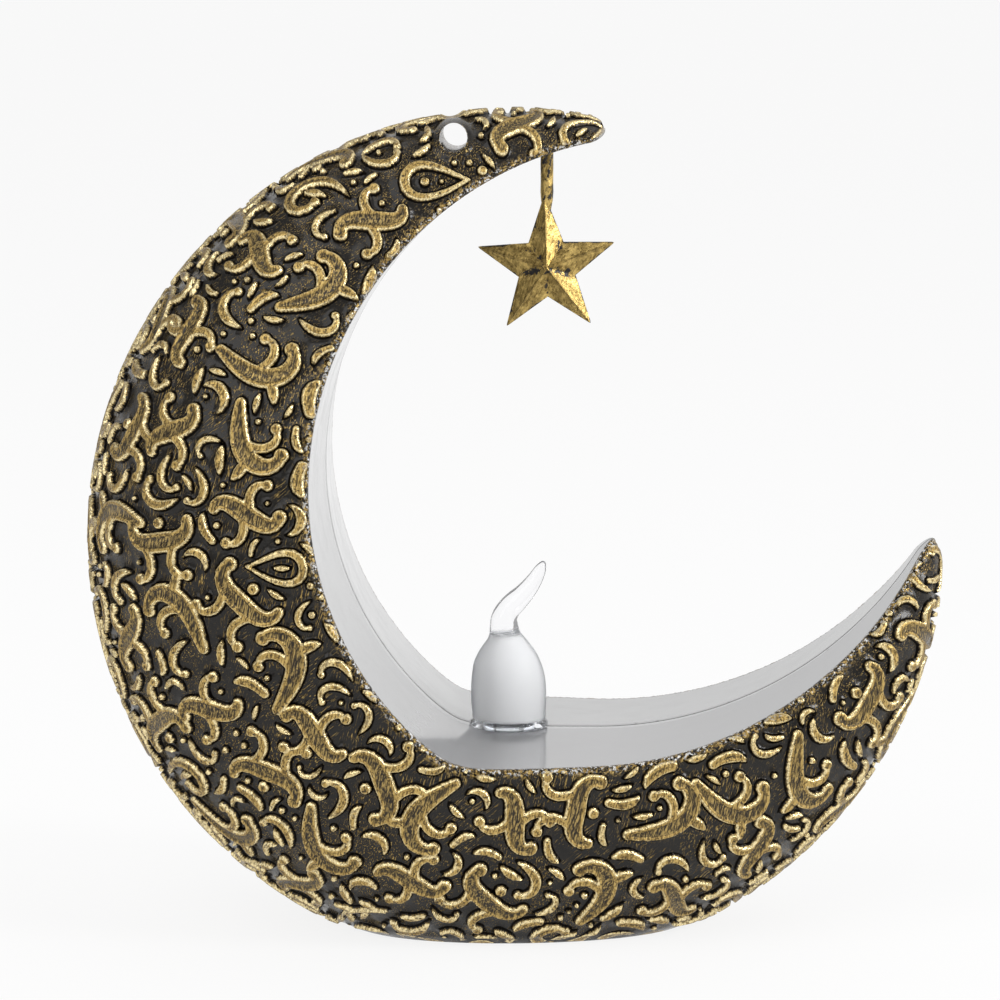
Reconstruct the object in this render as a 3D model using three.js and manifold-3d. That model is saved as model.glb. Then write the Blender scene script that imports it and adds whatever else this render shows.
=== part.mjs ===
// LED candle lantern in the shape of a crescent moon, with a star hanging from its upper horn.
// Millimetres. x points right, z points up from the base, and the front looks along -y.
// Two moulded half shells meet on the plane y = 0. The lamp works stand on a cover in the base.

import * as THREE from 'three';
import { mergeVertices } from 'three/addons/utils/BufferGeometryUtils.js';
import Module from 'manifold-3d';

// Crescent, seen from the front
const outerRadius = 70;
const baseCut = 6.2;
const leftThickness = 38.5;
const crownThickness = 4;
const leftArcInset = 16.2;
const rightArcInset = 8.1;
const rightArcX = 13.3;
const floorHeight = 32;
const upperTipThickness = 3.1;
const lowerTipThickness = 2.6;
const tipRoundingAngle = 3.4;

// The sections fan out from a pole in the opening, placed from the left arc's centre
const poleAside = 8.3;
const poleRise = 8;

// Crescent, across its thickness: share of the greatest half depth at shares of the way from tip to tip
const greatestHalfDepth = 35.5;
const halfDepthShares = [
  [0, 0.205],
  [0.155, 0.493],
  [0.382, 0.93],
  [0.593, 1],
  [0.764, 0.811],
  [0.915, 0.423],
  [1, 0.09],
];
const bulgePower = 2.3;
const innerWallSlope = 0.026;
const edgeRounding = 1.2;
const shellWall = 2;
const seamGap = 0.2;

// Main scrolls raised on the outside: columns of them stand side by side round the crescent
const scrollPitch = 13.6;
const scrollRoom = 14.5;
const scrollReach = 6.2;
const scrollLength = 20;
const scrollCurl = 0.45;
const scrollHalfWidth = 1.75;
const scrollEndShare = 0.55;
const scrollRise = 0.8;
const scrollSink = 0.6;
const scrollFlank = 0.45;
const scrollTurn = 2.4;
const scrollZero = new THREE.Vector3(0.31, 0.17, 0.94);
const scrollSway = 0.13;
const scrollSwayTurn = 1.7;
const quarterLineShare = 0.81;
const scrollHoleGap = 2;
const scrollBaseGap = 1.2;
const scrollEdgeGap = 0.8;
const scrollTipGap = 6;
const scrollLeastRoom = 11;

// Inside the shells
const basePlateThickness = 5;
const pegRadius = 1.5;
const pegLength = 3;
const pegClearance = 0.25;
const pegBossRadius = 3;
const pegAngles = [150, 187, 222, 299];
const cordHoleX = -10.1;
const cordHoleDrop = 3.1;
const cordHoleRadius = 2.25;
const cordHoleWall = 1.8;

// Star pendant
const starX = 4.9;
const stemLength = 6.5;
const starPoints = 5;
const starRadius = 11.7;
const starNotchRadius = 4.9;
const starHalfThickness = 3.2;
const starRimHalfThickness = 0.5;
const starTilt = 2;
const stemRadius = 1.05;
const stemClearance = 0.3;
const stemHeadRadius = 2.2;
const stemHeadThickness = 1.3;
const stemHeadSeat = 1.7;
const hangerBossRadius = 4;

// Flame cover: rings of its outline as [sideways offset, height over the floor, radius]
const lampX = -1.3;
const collarRadius = 6.5;
const collarHeight = 1.2;
const collarLift = 0.1;
const flameBody = [
  [0.1, 1.5, 5.84],
  [0, 5.1, 6.24],
  [-0.1, 8.8, 6],
  [-0.25, 10.9, 5.5],
  [-0.3, 13, 4.43],
  [-0.4, 14.25, 3.5],
  [-0.6, 15.3, 2.75],
  [-0.8, 16.75, 2.37],
  [-0.8, 18, 2.2],
];
const flameTip = [
  [-0.1, 19.6, 1.98],
  [1.08, 20.9, 1.87],
  [2.4, 22.2, 1.52],
  [3.56, 23.6, 1.29],
  [4.6, 25.2, 1.07],
  [5.4, 26.75, 0.78],
  [5.8, 27.7, 0.3],
];
const spigotRadius = 5;
const spigotLength = 4.2;
const spigotClearance = 0.3;

// LED
const ledRadius = 2.5;
const ledFlangeRadius = 2.9;
const ledFlangeThickness = 1;
const ledLength = 8.6;
const ledSink = 2.5;
const ledSideClearance = 0.4;
const ledTopClearance = 2.4;
const leadSpacing = 2.54;
const leadWidth = 0.5;

// Bottom cover and battery well
const coverHalfLength = 23.5;
const coverHalfWidth = 16.5;
const coverThickness = 2.4;
const coverInset = 0.3;
const coverClearance = 0.4;
const coverLedge = 2;
const cellRadius = 5.8;
const cellLength = 5.4;
const cellCapRadius = 4.4;
const cellCapHeight = 0.4;
const cellCount = 3;
const cellGap = 0.1;
const cellSideClearance = 0.5;
const cellAxisHeight = 8.8;
const wellY = -3;
const wellWall = 1.2;
const contactRoom = 2;
const contactThickness = 0.4;
const contactWidth = 6;
const contactBump = 1.2;
const contactTailWidth = 1.6;

// Battery door
const doorClearance = 0.3;
const doorThickness = 1.8;
const hingeBarRadius = 0.9;
const gripLength = 6;
const gripWidth = 1.2;
const gripDepth = 0.5;
const gripEdge = 1;
const trunnionRadius = 0.6;
const trunnionLength = 0.9;
const trunnionClearance = 0.25;

// Cover screws
const screwEndInset = 6;
const screwSideInset = 8.5;
const screwShankRadius = 0.95;
const screwShankLength = 7;
const screwHeadRadius = 1.9;
const screwHeadThickness = 1;
const screwHoleClearance = 0.25;
const screwBossRadius = 2.8;
const screwBossHeight = 7.5;

// Switch
const switchX = 0;
const switchY = 9.6;
const switchLength = 8.6;
const switchWidth = 3.6;
const switchBodyHeight = 3.4;
const switchTravel = 2;
const knobLength = 1.8;
const knobWidth = 1.4;
const knobRecess = 0.4;
const sliderLength = 3.6;
const sliderWidth = 2.2;
const sliderThickness = 1;
const switchClearance = 0.3;
const switchPinSpacing = 2.5;
const switchPinLength = 2.2;
const switchPinWidth = 0.5;

// Lamp board
const boardLength = 22;
const boardWidth = 12.5;
const boardThickness = 1.2;
const boardGap = 0.1;
const boardRibHeight = 1;
const boardRibX = 8;
const boardRibWidth = 1.4;
const leadStub = 0.8;
const boardHoleClearance = 0.3;
const wireRadius = 0.5;
const chipX = 6.5;
const chipY = -1;
const chipLength = 4.9;
const chipWidth = 3.9;
const chipHeight = 1.5;
const resistorX = -6;
const resistorY = 0.5;
const resistorLength = 3.2;
const resistorWidth = 1.6;
const resistorHeight = 0.6;
const solderGap = 0.05;

// Places that follow from the sizes above
const outerCentreHeight = outerRadius - baseCut;
const leftArcRadius = outerRadius - leftArcInset;
const rightArcRadius = outerRadius - rightArcInset;
const leftArcX = leftThickness + leftArcRadius - outerRadius;
const leftArcHeight = 2 * outerRadius - baseCut - crownThickness - leftArcRadius;
const poleX = leftArcX - poleAside;
const poleHeight = leftArcHeight + poleRise;
const starHeight = undersideHeight(starX) - stemLength - starRadius;
const cordHoleHeight = outerCentreHeight + Math.sqrt(outerRadius ** 2 - cordHoleX ** 2) - cordHoleDrop;
const ledBaseHeight = floorHeight - ledSink;
const screwX = coverHalfLength - screwEndInset;
const screwY = coverHalfWidth - screwSideInset;
const upperTipAngle = tipAngle(180, -1, upperTipThickness);
const lowerTipAngle = tipAngle(280, 1, lowerTipThickness);

const wasm = await Module();
wasm.setup();

// Solids

function toSolid(geometry) {
  const bare = geometry.clone();
  bare.deleteAttribute('normal');
  bare.deleteAttribute('uv');
  const merged = mergeVertices(bare, 1e-4);
  return new wasm.Manifold(new wasm.Mesh({
    numProp: 3,
    vertProperties: new Float32Array(merged.attributes.position.array),
    triVerts: new Uint32Array(merged.index.array),
  }));
}

function toGeometry(solid) {
  const mesh = solid.getMesh();
  const geometry = new THREE.BufferGeometry();
  geometry.setAttribute('position', new THREE.BufferAttribute(new Float32Array(mesh.vertProperties), 3));
  geometry.setIndex(new THREE.BufferAttribute(new Uint32Array(mesh.triVerts), 1));
  return geometry;
}

function join(...solids) {
  return solids.reduce((whole, solid) => whole.add(solid));
}

function box(x, y, z, lengthX, lengthY, lengthZ) {
  const geometry = new THREE.BoxGeometry(lengthX, lengthY, lengthZ);
  geometry.translate(x, y, z + lengthZ / 2);
  return toSolid(geometry);
}

function uprightCylinder(x, y, z, radius, height, sides = 28) {
  const geometry = new THREE.CylinderGeometry(radius, radius, height, sides);
  geometry.rotateX(Math.PI / 2);
  geometry.translate(x, y, z + height / 2);
  return toSolid(geometry);
}

function depthCylinder(x, yFrom, yTo, z, radius, sides = 20) {
  const geometry = new THREE.CylinderGeometry(radius, radius, yTo - yFrom, sides);
  geometry.translate(x, (yFrom + yTo) / 2, z);
  return toSolid(geometry);
}

function crossCylinder(xFrom, xTo, y, z, radius, sides = 16) {
  const geometry = new THREE.CylinderGeometry(radius, radius, xTo - xFrom, sides);
  geometry.rotateZ(Math.PI / 2);
  geometry.translate((xFrom + xTo) / 2, y, z);
  return toSolid(geometry);
}

function ovalPlate(z, halfLength, halfWidth, thickness, sides = 56) {
  const geometry = new THREE.CylinderGeometry(1, 1, thickness, sides);
  geometry.rotateX(Math.PI / 2);
  geometry.scale(halfLength, halfWidth, 1);
  geometry.translate(0, 0, z + thickness / 2);
  return toSolid(geometry);
}

// Turned body on an upright axis: points are [radius, height]
function turned(x, y, points, sides = 24) {
  const geometry = new THREE.LatheGeometry(points.map(([r, h]) => new THREE.Vector2(r, h)), sides);
  geometry.rotateX(Math.PI / 2);
  geometry.translate(x, y, 0);
  return toSolid(geometry);
}

// Closed body through rings of equally many points, with flat ends
function loft(rings) {
  const count = rings[0].length;
  const positions = rings.flat().flatMap((point) => [point.x, point.y, point.z]);
  const faces = [];
  for (let ring = 0; ring + 1 < rings.length; ring += 1) {
    for (let k = 0; k < count; k += 1) {
      const next = (k + 1) % count;
      const a = ring * count + k;
      const b = ring * count + next;
      faces.push(a, b, a + count, b, b + count, a + count);
    }
  }
  const last = (rings.length - 1) * count;
  for (let k = 1; k + 1 < count; k += 1) {
    faces.push(0, k + 1, k, last, last + k, last + k + 1);
  }
  const geometry = new THREE.BufferGeometry();
  geometry.setAttribute('position', new THREE.Float32BufferAttribute(positions, 3));
  geometry.setIndex(signedVolume(positions, faces) < 0 ? turnedInsideOut(faces) : faces);
  return toSolid(geometry);
}

function signedVolume(positions, faces) {
  const corner = (index) => new THREE.Vector3().fromArray(positions, 3 * index);
  let volume = 0;
  for (let k = 0; k < faces.length; k += 3) {
    volume += corner(faces[k]).dot(corner(faces[k + 1]).cross(corner(faces[k + 2]))) / 6;
  }
  return volume;
}

function turnedInsideOut(faces) {
  const flipped = [];
  for (let k = 0; k < faces.length; k += 3) {
    flipped.push(faces[k], faces[k + 2], faces[k + 1]);
  }
  return flipped;
}

// Crescent outline, in distances from the pole

function radians(degrees) {
  return degrees * Math.PI / 180;
}

// Far crossing of a ray from the pole with a circle
function crossCircle(angle, x, z, radius) {
  const dx = poleX - x;
  const dz = poleHeight - z;
  const along = dx * Math.cos(radians(angle)) + dz * Math.sin(radians(angle));
  return -along + Math.sqrt(along * along - dx * dx - dz * dz + radius * radius);
}

function outerReach(angle) {
  return crossCircle(angle, 0, outerCentreHeight, outerRadius);
}

// The inner wall is an arc on the left, a flat floor, and an arc on the right that leaves the floor level
function innerReach(angle) {
  const left = crossCircle(angle, leftArcX, leftArcHeight, leftArcRadius);
  const drop = -Math.sin(radians(angle));
  const toFloor = drop > 0 ? (poleHeight - floorHeight) / drop : Infinity;
  const floorX = poleX + toFloor * Math.cos(radians(angle));
  const onRight = angle > 270 || (Number.isFinite(toFloor) && floorX > rightArcX);
  if (!onRight) {
    return Math.min(left, toFloor);
  }
  const right = crossCircle(angle, rightArcX, floorHeight + rightArcRadius, rightArcRadius);
  return Math.min(left, right);
}

// Angle where the horn has thinned to its tip, going round the pole in small steps
function tipAngle(from, direction, thickness) {
  const step = 0.05;
  let angle = from;
  while (outerReach(angle) - innerReach(angle) > thickness) {
    angle += direction * step;
  }
  return angle;
}

// Smooth curve through the half depth stations
function halfDepth(angle) {
  const share = THREE.MathUtils.clamp((angle - upperTipAngle) / (lowerTipAngle - upperTipAngle), 0, 1);
  const points = halfDepthShares.map(([way, depth]) => new THREE.Vector2(way, depth));
  const index = Math.max(1, points.findIndex((point) => point.x >= share));
  const from = points[index - 1];
  const to = points[index];
  const slopeAt = (k) => {
    const before = points[Math.max(0, k - 1)];
    const after = points[Math.min(points.length - 1, k + 1)];
    return (after.y - before.y) / (after.x - before.x);
  };
  const span = to.x - from.x;
  const t = (share - from.x) / span;
  return greatestHalfDepth * (
    (2 * t ** 3 - 3 * t ** 2 + 1) * from.y + (t ** 3 - 2 * t ** 2 + t) * span * slopeAt(index - 1)
    + (3 * t ** 2 - 2 * t ** 3) * to.y + (t ** 3 - t ** 2) * span * slopeAt(index)
  );
}

// Towards each tip the section shrinks on a quarter circle, which rounds the horn's end
function tipShrink(angle) {
  const left = Math.min(angle - upperTipAngle, lowerTipAngle - angle) / tipRoundingAngle;
  return left >= 1 ? 1 : Math.sqrt(Math.max(0.02, 1 - (1 - left) ** 2));
}

function sectionSizes(angle) {
  const shrink = tipShrink(angle);
  const middle = (innerReach(angle) + outerReach(angle)) / 2;
  const half = (outerReach(angle) - innerReach(angle)) / 2 * shrink;
  const depth = halfDepth(angle) * shrink;
  const inner = middle - half;
  return { inner, outer: middle + half, edge: inner + depth * innerWallSlope, depth };
}

function placed(angle, reach, y) {
  return new THREE.Vector3(
    poleX + reach * Math.cos(radians(angle)), y, poleHeight + reach * Math.sin(radians(angle)),
  );
}

// Half of the crescent's D shaped section: side is -1 for the front and 1 for the rear
function halfSection(angle, side, inset, seamY, steps) {
  const { inner, outer, edge, depth } = sectionSizes(angle);
  const rimReach = outer - inset;
  const edgeReach = edge + inset;
  const wallDepth = depth - inset;
  const corner = Math.min(edgeRounding, (rimReach - edgeReach) / 4, wallDepth / 4);
  const points = [[inner + inset, seamY], [edgeReach, wallDepth - corner]];
  points.push([edgeReach + 0.3 * corner, wallDepth - 0.3 * corner]);
  for (let step = 1; step <= steps; step += 1) {
    const turn = step / steps * Math.PI / 2;
    const share = Math.sin(turn) ** (2 / bulgePower);
    const bulge = Math.max(0, Math.cos(turn)) ** (2 / bulgePower);
    const y = step === steps ? seamY : Math.max(wallDepth * bulge, seamY + 0.02 * (steps - step));
    points.push([edgeReach + (rimReach - edgeReach) * share, y]);
  }
  return points.map(([reach, y]) => placed(angle, reach, side * y));
}

function anglesBetween(from, to, count) {
  return Array.from({ length: count + 1 }, (_, k) => from + (to - from) * k / count);
}

// Angle of the corner where the left arc meets the floor, so that a ring lies on it
function floorCornerAngle() {
  const across = leftArcX - Math.sqrt(leftArcRadius ** 2 - (leftArcHeight - floorHeight) ** 2);
  return 360 + Math.atan2(floorHeight - poleHeight, across - poleX) * 180 / Math.PI;
}

function crescentHalf(side) {
  const corner = floorCornerAngle();
  const upperStart = upperTipAngle + tipRoundingAngle;
  const lowerStart = lowerTipAngle - tipRoundingAngle;
  const angles = [
    ...anglesBetween(upperTipAngle, upperStart, 4).slice(0, -1),
    ...anglesBetween(upperStart, corner, 22).slice(0, -1),
    ...anglesBetween(corner, lowerStart, 14).slice(0, -1),
    ...anglesBetween(lowerStart, lowerTipAngle, 4),
  ];
  const body = loft(angles.map((angle) => halfSection(angle, side, 0, seamGap / 2, 9)));
  return body.subtract(box(0, 0, -outerRadius, 4 * outerRadius, 4 * outerRadius, outerRadius));
}

// Hollow of one half, open at the seam, between the angles where both walls leave room for it
function crescentHollow(side) {
  const room = (angle) => {
    const { edge, outer, depth } = sectionSizes(angle);
    return Math.min(outer - edge, depth) - 2 * shellWall;
  };
  const leastRoom = 1.5;
  const hollowAngles = anglesBetween(upperTipAngle, lowerTipAngle, 250)
    .filter((angle) => room(angle) > leastRoom);
  const from = hollowAngles[0];
  const to = hollowAngles[hollowAngles.length - 1];
  const corner = floorCornerAngle();
  const angles = [
    ...anglesBetween(from, corner, 18).slice(0, -1),
    ...anglesBetween(corner, to, 12),
  ];
  const hollow = loft(angles.map((angle) => halfSection(angle, side, shellWall, -shellWall, 7)));
  const below = basePlateThickness - outerRadius;
  return hollow.subtract(box(0, 0, below, 4 * outerRadius, 4 * outerRadius, outerRadius));
}

// Main scrolls

// Bending along a scroll, as a share of the tightest: an S, a bowl and a hook
const scrollBends = [
  (way) => Math.cos(Math.PI * way) ** 3,
  (way) => 0.85 * Math.cos(Math.PI * way) ** 2,
  (way) => -0.8 * way ** 1.5,
];

// Flat middle line of a scroll as [x, y, half width], centred and brought to its size
function scrollLine(kind, reach) {
  const fineSteps = 48;
  const keptEvery = 6;
  const step = scrollLength / fineSteps;
  let heading = 0;
  let spot = new THREE.Vector2();
  const line = [spot];
  for (let k = 0; k < fineSteps; k += 1) {
    heading += scrollCurl * scrollBends[kind]((k + 0.5) / fineSteps) * step;
    spot = spot.clone().add(new THREE.Vector2(Math.cos(heading), Math.sin(heading)).multiplyScalar(step));
    line.push(spot);
  }
  const room = new THREE.Box2().setFromPoints(line);
  const middle = room.getCenter(new THREE.Vector2());
  const size = room.getSize(new THREE.Vector2());
  const scale = (2 * reach - scrollHalfWidth) / Math.max(size.x, size.y);
  return line.filter((_, k) => k % keptEvery === 0).map((point, k, kept) => {
    const swell = Math.sin(Math.PI * k / (kept.length - 1));
    const halfWidth = scrollHalfWidth * (scrollEndShare + (1 - scrollEndShare) * swell);
    return [(point.x - middle.x) * scale, (point.y - middle.y) * scale, halfWidth];
  });
}

// Angle of the section that a point lies in
function turnOf(x, z) {
  const angle = 360 + Math.atan2(z - poleHeight, x - poleX) * 180 / Math.PI;
  const turned = angle > lowerTipAngle + 20 ? angle - 360 : angle;
  return THREE.MathUtils.clamp(turned, upperTipAngle, lowerTipAngle);
}

// 0 on the crescent's round outside, and more than 0 beyond it
function outsideness(point) {
  const { edge, outer, depth } = sectionSizes(turnOf(point.x, point.z));
  const across = Math.max(0, Math.hypot(point.x - poleX, point.z - poleHeight) - edge) / (outer - edge);
  return across ** bulgePower + (Math.abs(point.y) / depth) ** bulgePower - 1;
}

function outwards(point) {
  const nudge = 0.05;
  const slopes = [[1, 0, 0], [0, 1, 0], [0, 0, 1]].map((axis) => {
    const direction = new THREE.Vector3(...axis);
    return outsideness(point.clone().addScaledVector(direction, nudge))
      - outsideness(point.clone().addScaledVector(direction, -nudge));
  });
  return new THREE.Vector3(...slopes).normalize();
}

// Moves a point along a direction until it lies on the outside
function broughtTo(point, direction) {
  const halvings = 24;
  let low = -scrollReach;
  let high = scrollReach;
  for (let k = 0; k < halvings; k += 1) {
    const middle = (low + high) / 2;
    const beyond = outsideness(point.clone().addScaledVector(direction, middle)) > 0;
    low = beyond ? low : middle;
    high = beyond ? middle : high;
  }
  return point.clone().addScaledVector(direction, low);
}

// Centre, normal, kind, reach and turn of each scroll on the rear half, column by column
function scrollPlaces() {
  const places = [];
  let angle = upperTipAngle;
  for (let column = 0; angle < lowerTipAngle - scrollTipGap; column += 1) {
    const { edge, outer, depth } = sectionSizes(angle);
    const across = quarterLineShare * (depth + outer - edge);
    const rows = across < scrollLeastRoom ? 0 : Math.round(across / scrollRoom);
    for (let row = 0; row < rows; row += 1) {
      const number = places.length;
      const sway = scrollSway * Math.sin(scrollSwayTurn * number);
      const turn = radians(90 * (row + 0.5 + sway) / rows);
      const reach = edge + (outer - edge) * Math.sin(turn) ** (2 / bulgePower);
      const centre = placed(angle, reach, depth * Math.cos(turn) ** (2 / bulgePower));
      places.push({
        centre,
        normal: outwards(centre),
        kind: number % scrollBends.length,
        reach: scrollReach * Math.min(1, across / rows / scrollRoom),
        turn: scrollTurn * number,
      });
    }
    angle += scrollPitch / ((edge + outer) / 2) * 180 / Math.PI;
  }
  return places;
}

// Sections of one scroll's rib, laid on the outside and sunk into it
function scrollRib({ centre, normal, kind, reach, turn }) {
  const first = new THREE.Vector3().crossVectors(normal, scrollZero).normalize();
  const second = new THREE.Vector3().crossVectors(normal, first);
  const spots = scrollLine(kind, reach).map(([x, y, halfWidth]) => {
    const flat = new THREE.Vector2(x, y).rotateAround(new THREE.Vector2(), turn);
    const point = centre.clone().addScaledVector(first, flat.x).addScaledVector(second, flat.y);
    return { point: broughtTo(point, normal), halfWidth };
  });
  return spots.map(({ point, halfWidth }, k) => {
    const up = outwards(point);
    const along = spots[Math.min(k + 1, spots.length - 1)].point.clone().sub(spots[Math.max(k - 1, 0)].point);
    const aside = new THREE.Vector3().crossVectors(up, along).normalize();
    const corner = (rise, out) => point.clone().addScaledVector(up, rise).addScaledVector(aside, out);
    const top = halfWidth - scrollFlank;
    return [
      corner(-scrollSink, -halfWidth), corner(scrollRise, -top),
      corner(scrollRise, top), corner(-scrollSink, halfWidth),
    ];
  });
}

// The ribs that keep clear of the wall's edge, the seam, the base and the cord hole
function scrolls(side) {
  const clear = ({ x, y, z }) => {
    const fromHole = Math.hypot(x - cordHoleX, z - cordHoleHeight) - cordHoleRadius;
    const fromEdge = Math.hypot(x - poleX, z - poleHeight) - sectionSizes(turnOf(x, z)).edge;
    return fromHole > scrollHoleGap && fromEdge > scrollEdgeGap && z > scrollBaseGap && y > seamGap;
  };
  const ribs = scrollPlaces().map(scrollRib).filter((rings) => rings.flat().every(clear));
  const mirror = new THREE.Vector3(1, side, 1);
  return ribs.map((rings) => loft(rings.map((ring) => ring.map((point) => point.clone().multiply(mirror)))));
}

function midPoint(angle) {
  const { inner, outer } = sectionSizes(angle);
  return placed(angle, (inner + outer) / 2, 0);
}

// Height of the inner wall straight above a point of the upper horn's underside
function undersideHeight(x) {
  return leftArcHeight + Math.sqrt(leftArcRadius ** 2 - (x - leftArcX) ** 2);
}

const coverTop = coverInset + coverThickness;
const stemTop = undersideHeight(starX) + stemHeadSeat;
const screwPlaces = [[-screwX, -screwY], [screwX, -screwY], [-screwX, screwY], [screwX, screwY]];

function shell(side) {
  const plain = crescentHalf(side);
  const whole = join(plain, ...scrolls(side));
  const reach = 2 * outerRadius;
  const bosses = [
    depthCylinder(cordHoleX, -reach, reach, cordHoleHeight, cordHoleRadius + cordHoleWall),
    uprightCylinder(starX, 0, undersideHeight(starX) - 2 * shellWall, hangerBossRadius, 8 * shellWall),
    uprightCylinder(lampX, 0, floorHeight - 2 * shellWall, spigotRadius + shellWall, 2 * shellWall),
  ];
  for (const angle of pegAngles) {
    const { x, z } = midPoint(angle);
    bosses.push(depthCylinder(x, -reach, reach, z, pegBossRadius));
  }
  for (const [x, y] of screwPlaces) {
    bosses.push(uprightCylinder(x, y, coverTop, screwBossRadius, screwBossHeight));
  }
  let body = whole.subtract(crescentHollow(side)).add(join(...bosses).intersect(whole));

  const cordHole = depthCylinder(cordHoleX, -reach, reach, cordHoleHeight, cordHoleRadius, 24);
  const lampHole = uprightCylinder(lampX, 0, floorHeight - 3 * shellWall, spigotRadius + spigotClearance,
    6 * shellWall);
  const stemHole = uprightCylinder(starX, 0, starHeight, stemRadius + stemClearance,
    stemTop - starHeight + stemClearance, 16);
  const headPocket = uprightCylinder(starX, 0, stemTop - stemClearance, stemHeadRadius + stemClearance,
    stemHeadThickness + 2 * stemClearance, 20);
  const coverRecess = ovalPlate(-1, coverHalfLength + coverClearance, coverHalfWidth + coverClearance,
    1 + coverTop);
  const coverOpening = ovalPlate(-1, coverHalfLength - coverLedge, coverHalfWidth - coverLedge,
    1 + basePlateThickness + shellWall);
  const bossTops = screwPlaces.map(([x, y]) => (
    uprightCylinder(x, y, coverTop, screwBossRadius, screwBossHeight)
  ));
  body = body.subtract(join(cordHole, lampHole, stemHole, headPocket, coverRecess));
  body = body.subtract(coverOpening.subtract(join(...bossTops)));
  for (const [x, y] of screwPlaces) {
    body = body.subtract(uprightCylinder(x, y, 0, screwShankRadius + screwHoleClearance / 2,
      coverTop + screwShankLength, 14));
  }
  for (const angle of pegAngles) {
    const { x, z } = midPoint(angle);
    body = side < 0
      ? body.add(depthCylinder(x, -2 * pegLength, pegLength, z, pegRadius, 14))
      : body.subtract(depthCylinder(x, -1, pegLength + pegClearance, z, pegRadius + pegClearance, 14));
  }
  return largestPart(body);
}

// The cuts can leave loose crumbs inside a shell, so the biggest connected part is kept
function largestPart(solid) {
  const parts = solid.decompose();
  const volume = (part) => part.volume();
  return parts.reduce((best, part) => (volume(part) > volume(best) ? part : best));
}

// Star pendant: ridges run to the points and valleys to the notches, on both faces

function starPendant() {
  const corners = 2 * starPoints;
  const rim = (y) => Array.from({ length: corners }, (_, k) => {
    const turn = radians(90 + starTilt - 360 * k / corners);
    const reach = k % 2 === 0 ? starRadius : starNotchRadius;
    return new THREE.Vector3(starX + reach * Math.cos(turn), y, starHeight + reach * Math.sin(turn));
  });
  const rings = [-1, 1].map((face) => rim(face * starRimHalfThickness));
  const apexes = [-1, 1].map((face) => new THREE.Vector3(starX, face * starHalfThickness, starHeight));
  const positions = [...rings[0], ...rings[1], ...apexes].flatMap((point) => [point.x, point.y, point.z]);
  const faces = [];
  for (let k = 0; k < corners; k += 1) {
    const next = (k + 1) % corners;
    faces.push(2 * corners, next, k, 2 * corners + 1, corners + k, corners + next);
    faces.push(k, next, corners + k, next, corners + next, corners + k);
  }
  const geometry = new THREE.BufferGeometry();
  geometry.setAttribute('position', new THREE.Float32BufferAttribute(positions, 3));
  geometry.setIndex(signedVolume(positions, faces) < 0 ? turnedInsideOut(faces) : faces);
  const stemFoot = starHeight + starRadius - 3;
  const stem = uprightCylinder(starX, 0, stemFoot, stemRadius, stemTop - stemFoot + 0.2, 12);
  const head = uprightCylinder(starX, 0, stemTop, stemHeadRadius, stemHeadThickness, 16);
  return join(toSolid(geometry), stem, head);
}

// Flame cover

function flameRing([offset, height, radius], lean, sides) {
  return Array.from({ length: sides }, (_, k) => {
    const turn = k / sides * 2 * Math.PI;
    const across = radius * Math.cos(turn);
    return new THREE.Vector3(
      lampX + offset + across * Math.cos(lean),
      radius * Math.sin(turn),
      floorHeight + height - across * Math.sin(lean),
    );
  });
}

function flameCover() {
  const sides = 20;
  const leanOf = (k) => {
    const before = k === 0 ? flameBody[flameBody.length - 1] : flameTip[k - 1];
    const after = flameTip[Math.min(k + 1, flameTip.length - 1)];
    return Math.atan2(after[0] - before[0], after[1] - before[1]);
  };
  const rings = [
    ...flameBody.map((station) => flameRing(station, 0, sides)),
    ...flameTip.map((station, k) => flameRing(station, leanOf(k), sides)),
  ];
  const bodyFoot = floorHeight + flameBody[0][1];
  const collarFoot = floorHeight + collarLift;
  const collar = uprightCylinder(lampX, 0, collarFoot, collarRadius, collarHeight);
  const neck = uprightCylinder(lampX, 0, collarFoot, flameBody[0][2] - 0.1, bodyFoot - collarFoot + 0.5);
  const spigot = uprightCylinder(lampX, 0, floorHeight - spigotLength, spigotRadius, spigotLength + 0.5);
  const boreRadius = ledFlangeRadius + ledSideClearance;
  const boreTop = ledBaseHeight + ledLength + ledTopClearance;
  const bore = turned(lampX, 0, [
    [0, floorHeight - spigotLength - 1],
    [boreRadius, floorHeight - spigotLength - 1],
    [boreRadius, boreTop - boreRadius],
    [boreRadius * 0.8, boreTop - boreRadius * 0.4],
    [0, boreTop],
  ], 20);
  return join(loft(rings), collar, neck, spigot).subtract(bore);
}

// Lamp works

const wellHeight = cellAxisHeight + cellRadius + cellSideClearance;
const boardHeight = wellHeight + wellWall + boardRibHeight + boardGap;
const stackLength = cellCount * cellLength + (cellCount - 1) * cellGap;
const wellHalfLength = stackLength / 2 + contactRoom;
const wellHalfWidth = cellRadius + cellSideClearance;
const contactFace = wellHalfLength - contactThickness;
const leadSide = (side) => lampX + side * leadSpacing / 2;

function ledLens() {
  const domeFoot = ledBaseHeight + ledLength - ledRadius;
  return turned(lampX, 0, [
    [0, ledBaseHeight],
    [ledFlangeRadius, ledBaseHeight],
    [ledFlangeRadius, ledBaseHeight + ledFlangeThickness],
    [ledRadius, ledBaseHeight + ledFlangeThickness],
    [ledRadius, domeFoot],
    [ledRadius * 0.8, domeFoot + ledRadius * 0.6],
    [ledRadius * 0.4, domeFoot + ledRadius * 0.92],
    [0, domeFoot + ledRadius],
  ], 18);
}

// The lead goes from just under the lens through its hole in the board
function ledLead(side) {
  const foot = boardHeight - leadStub;
  const top = ledBaseHeight - 0.05;
  return box(leadSide(side), 0, foot, leadWidth, leadWidth, top - foot);
}

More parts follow.
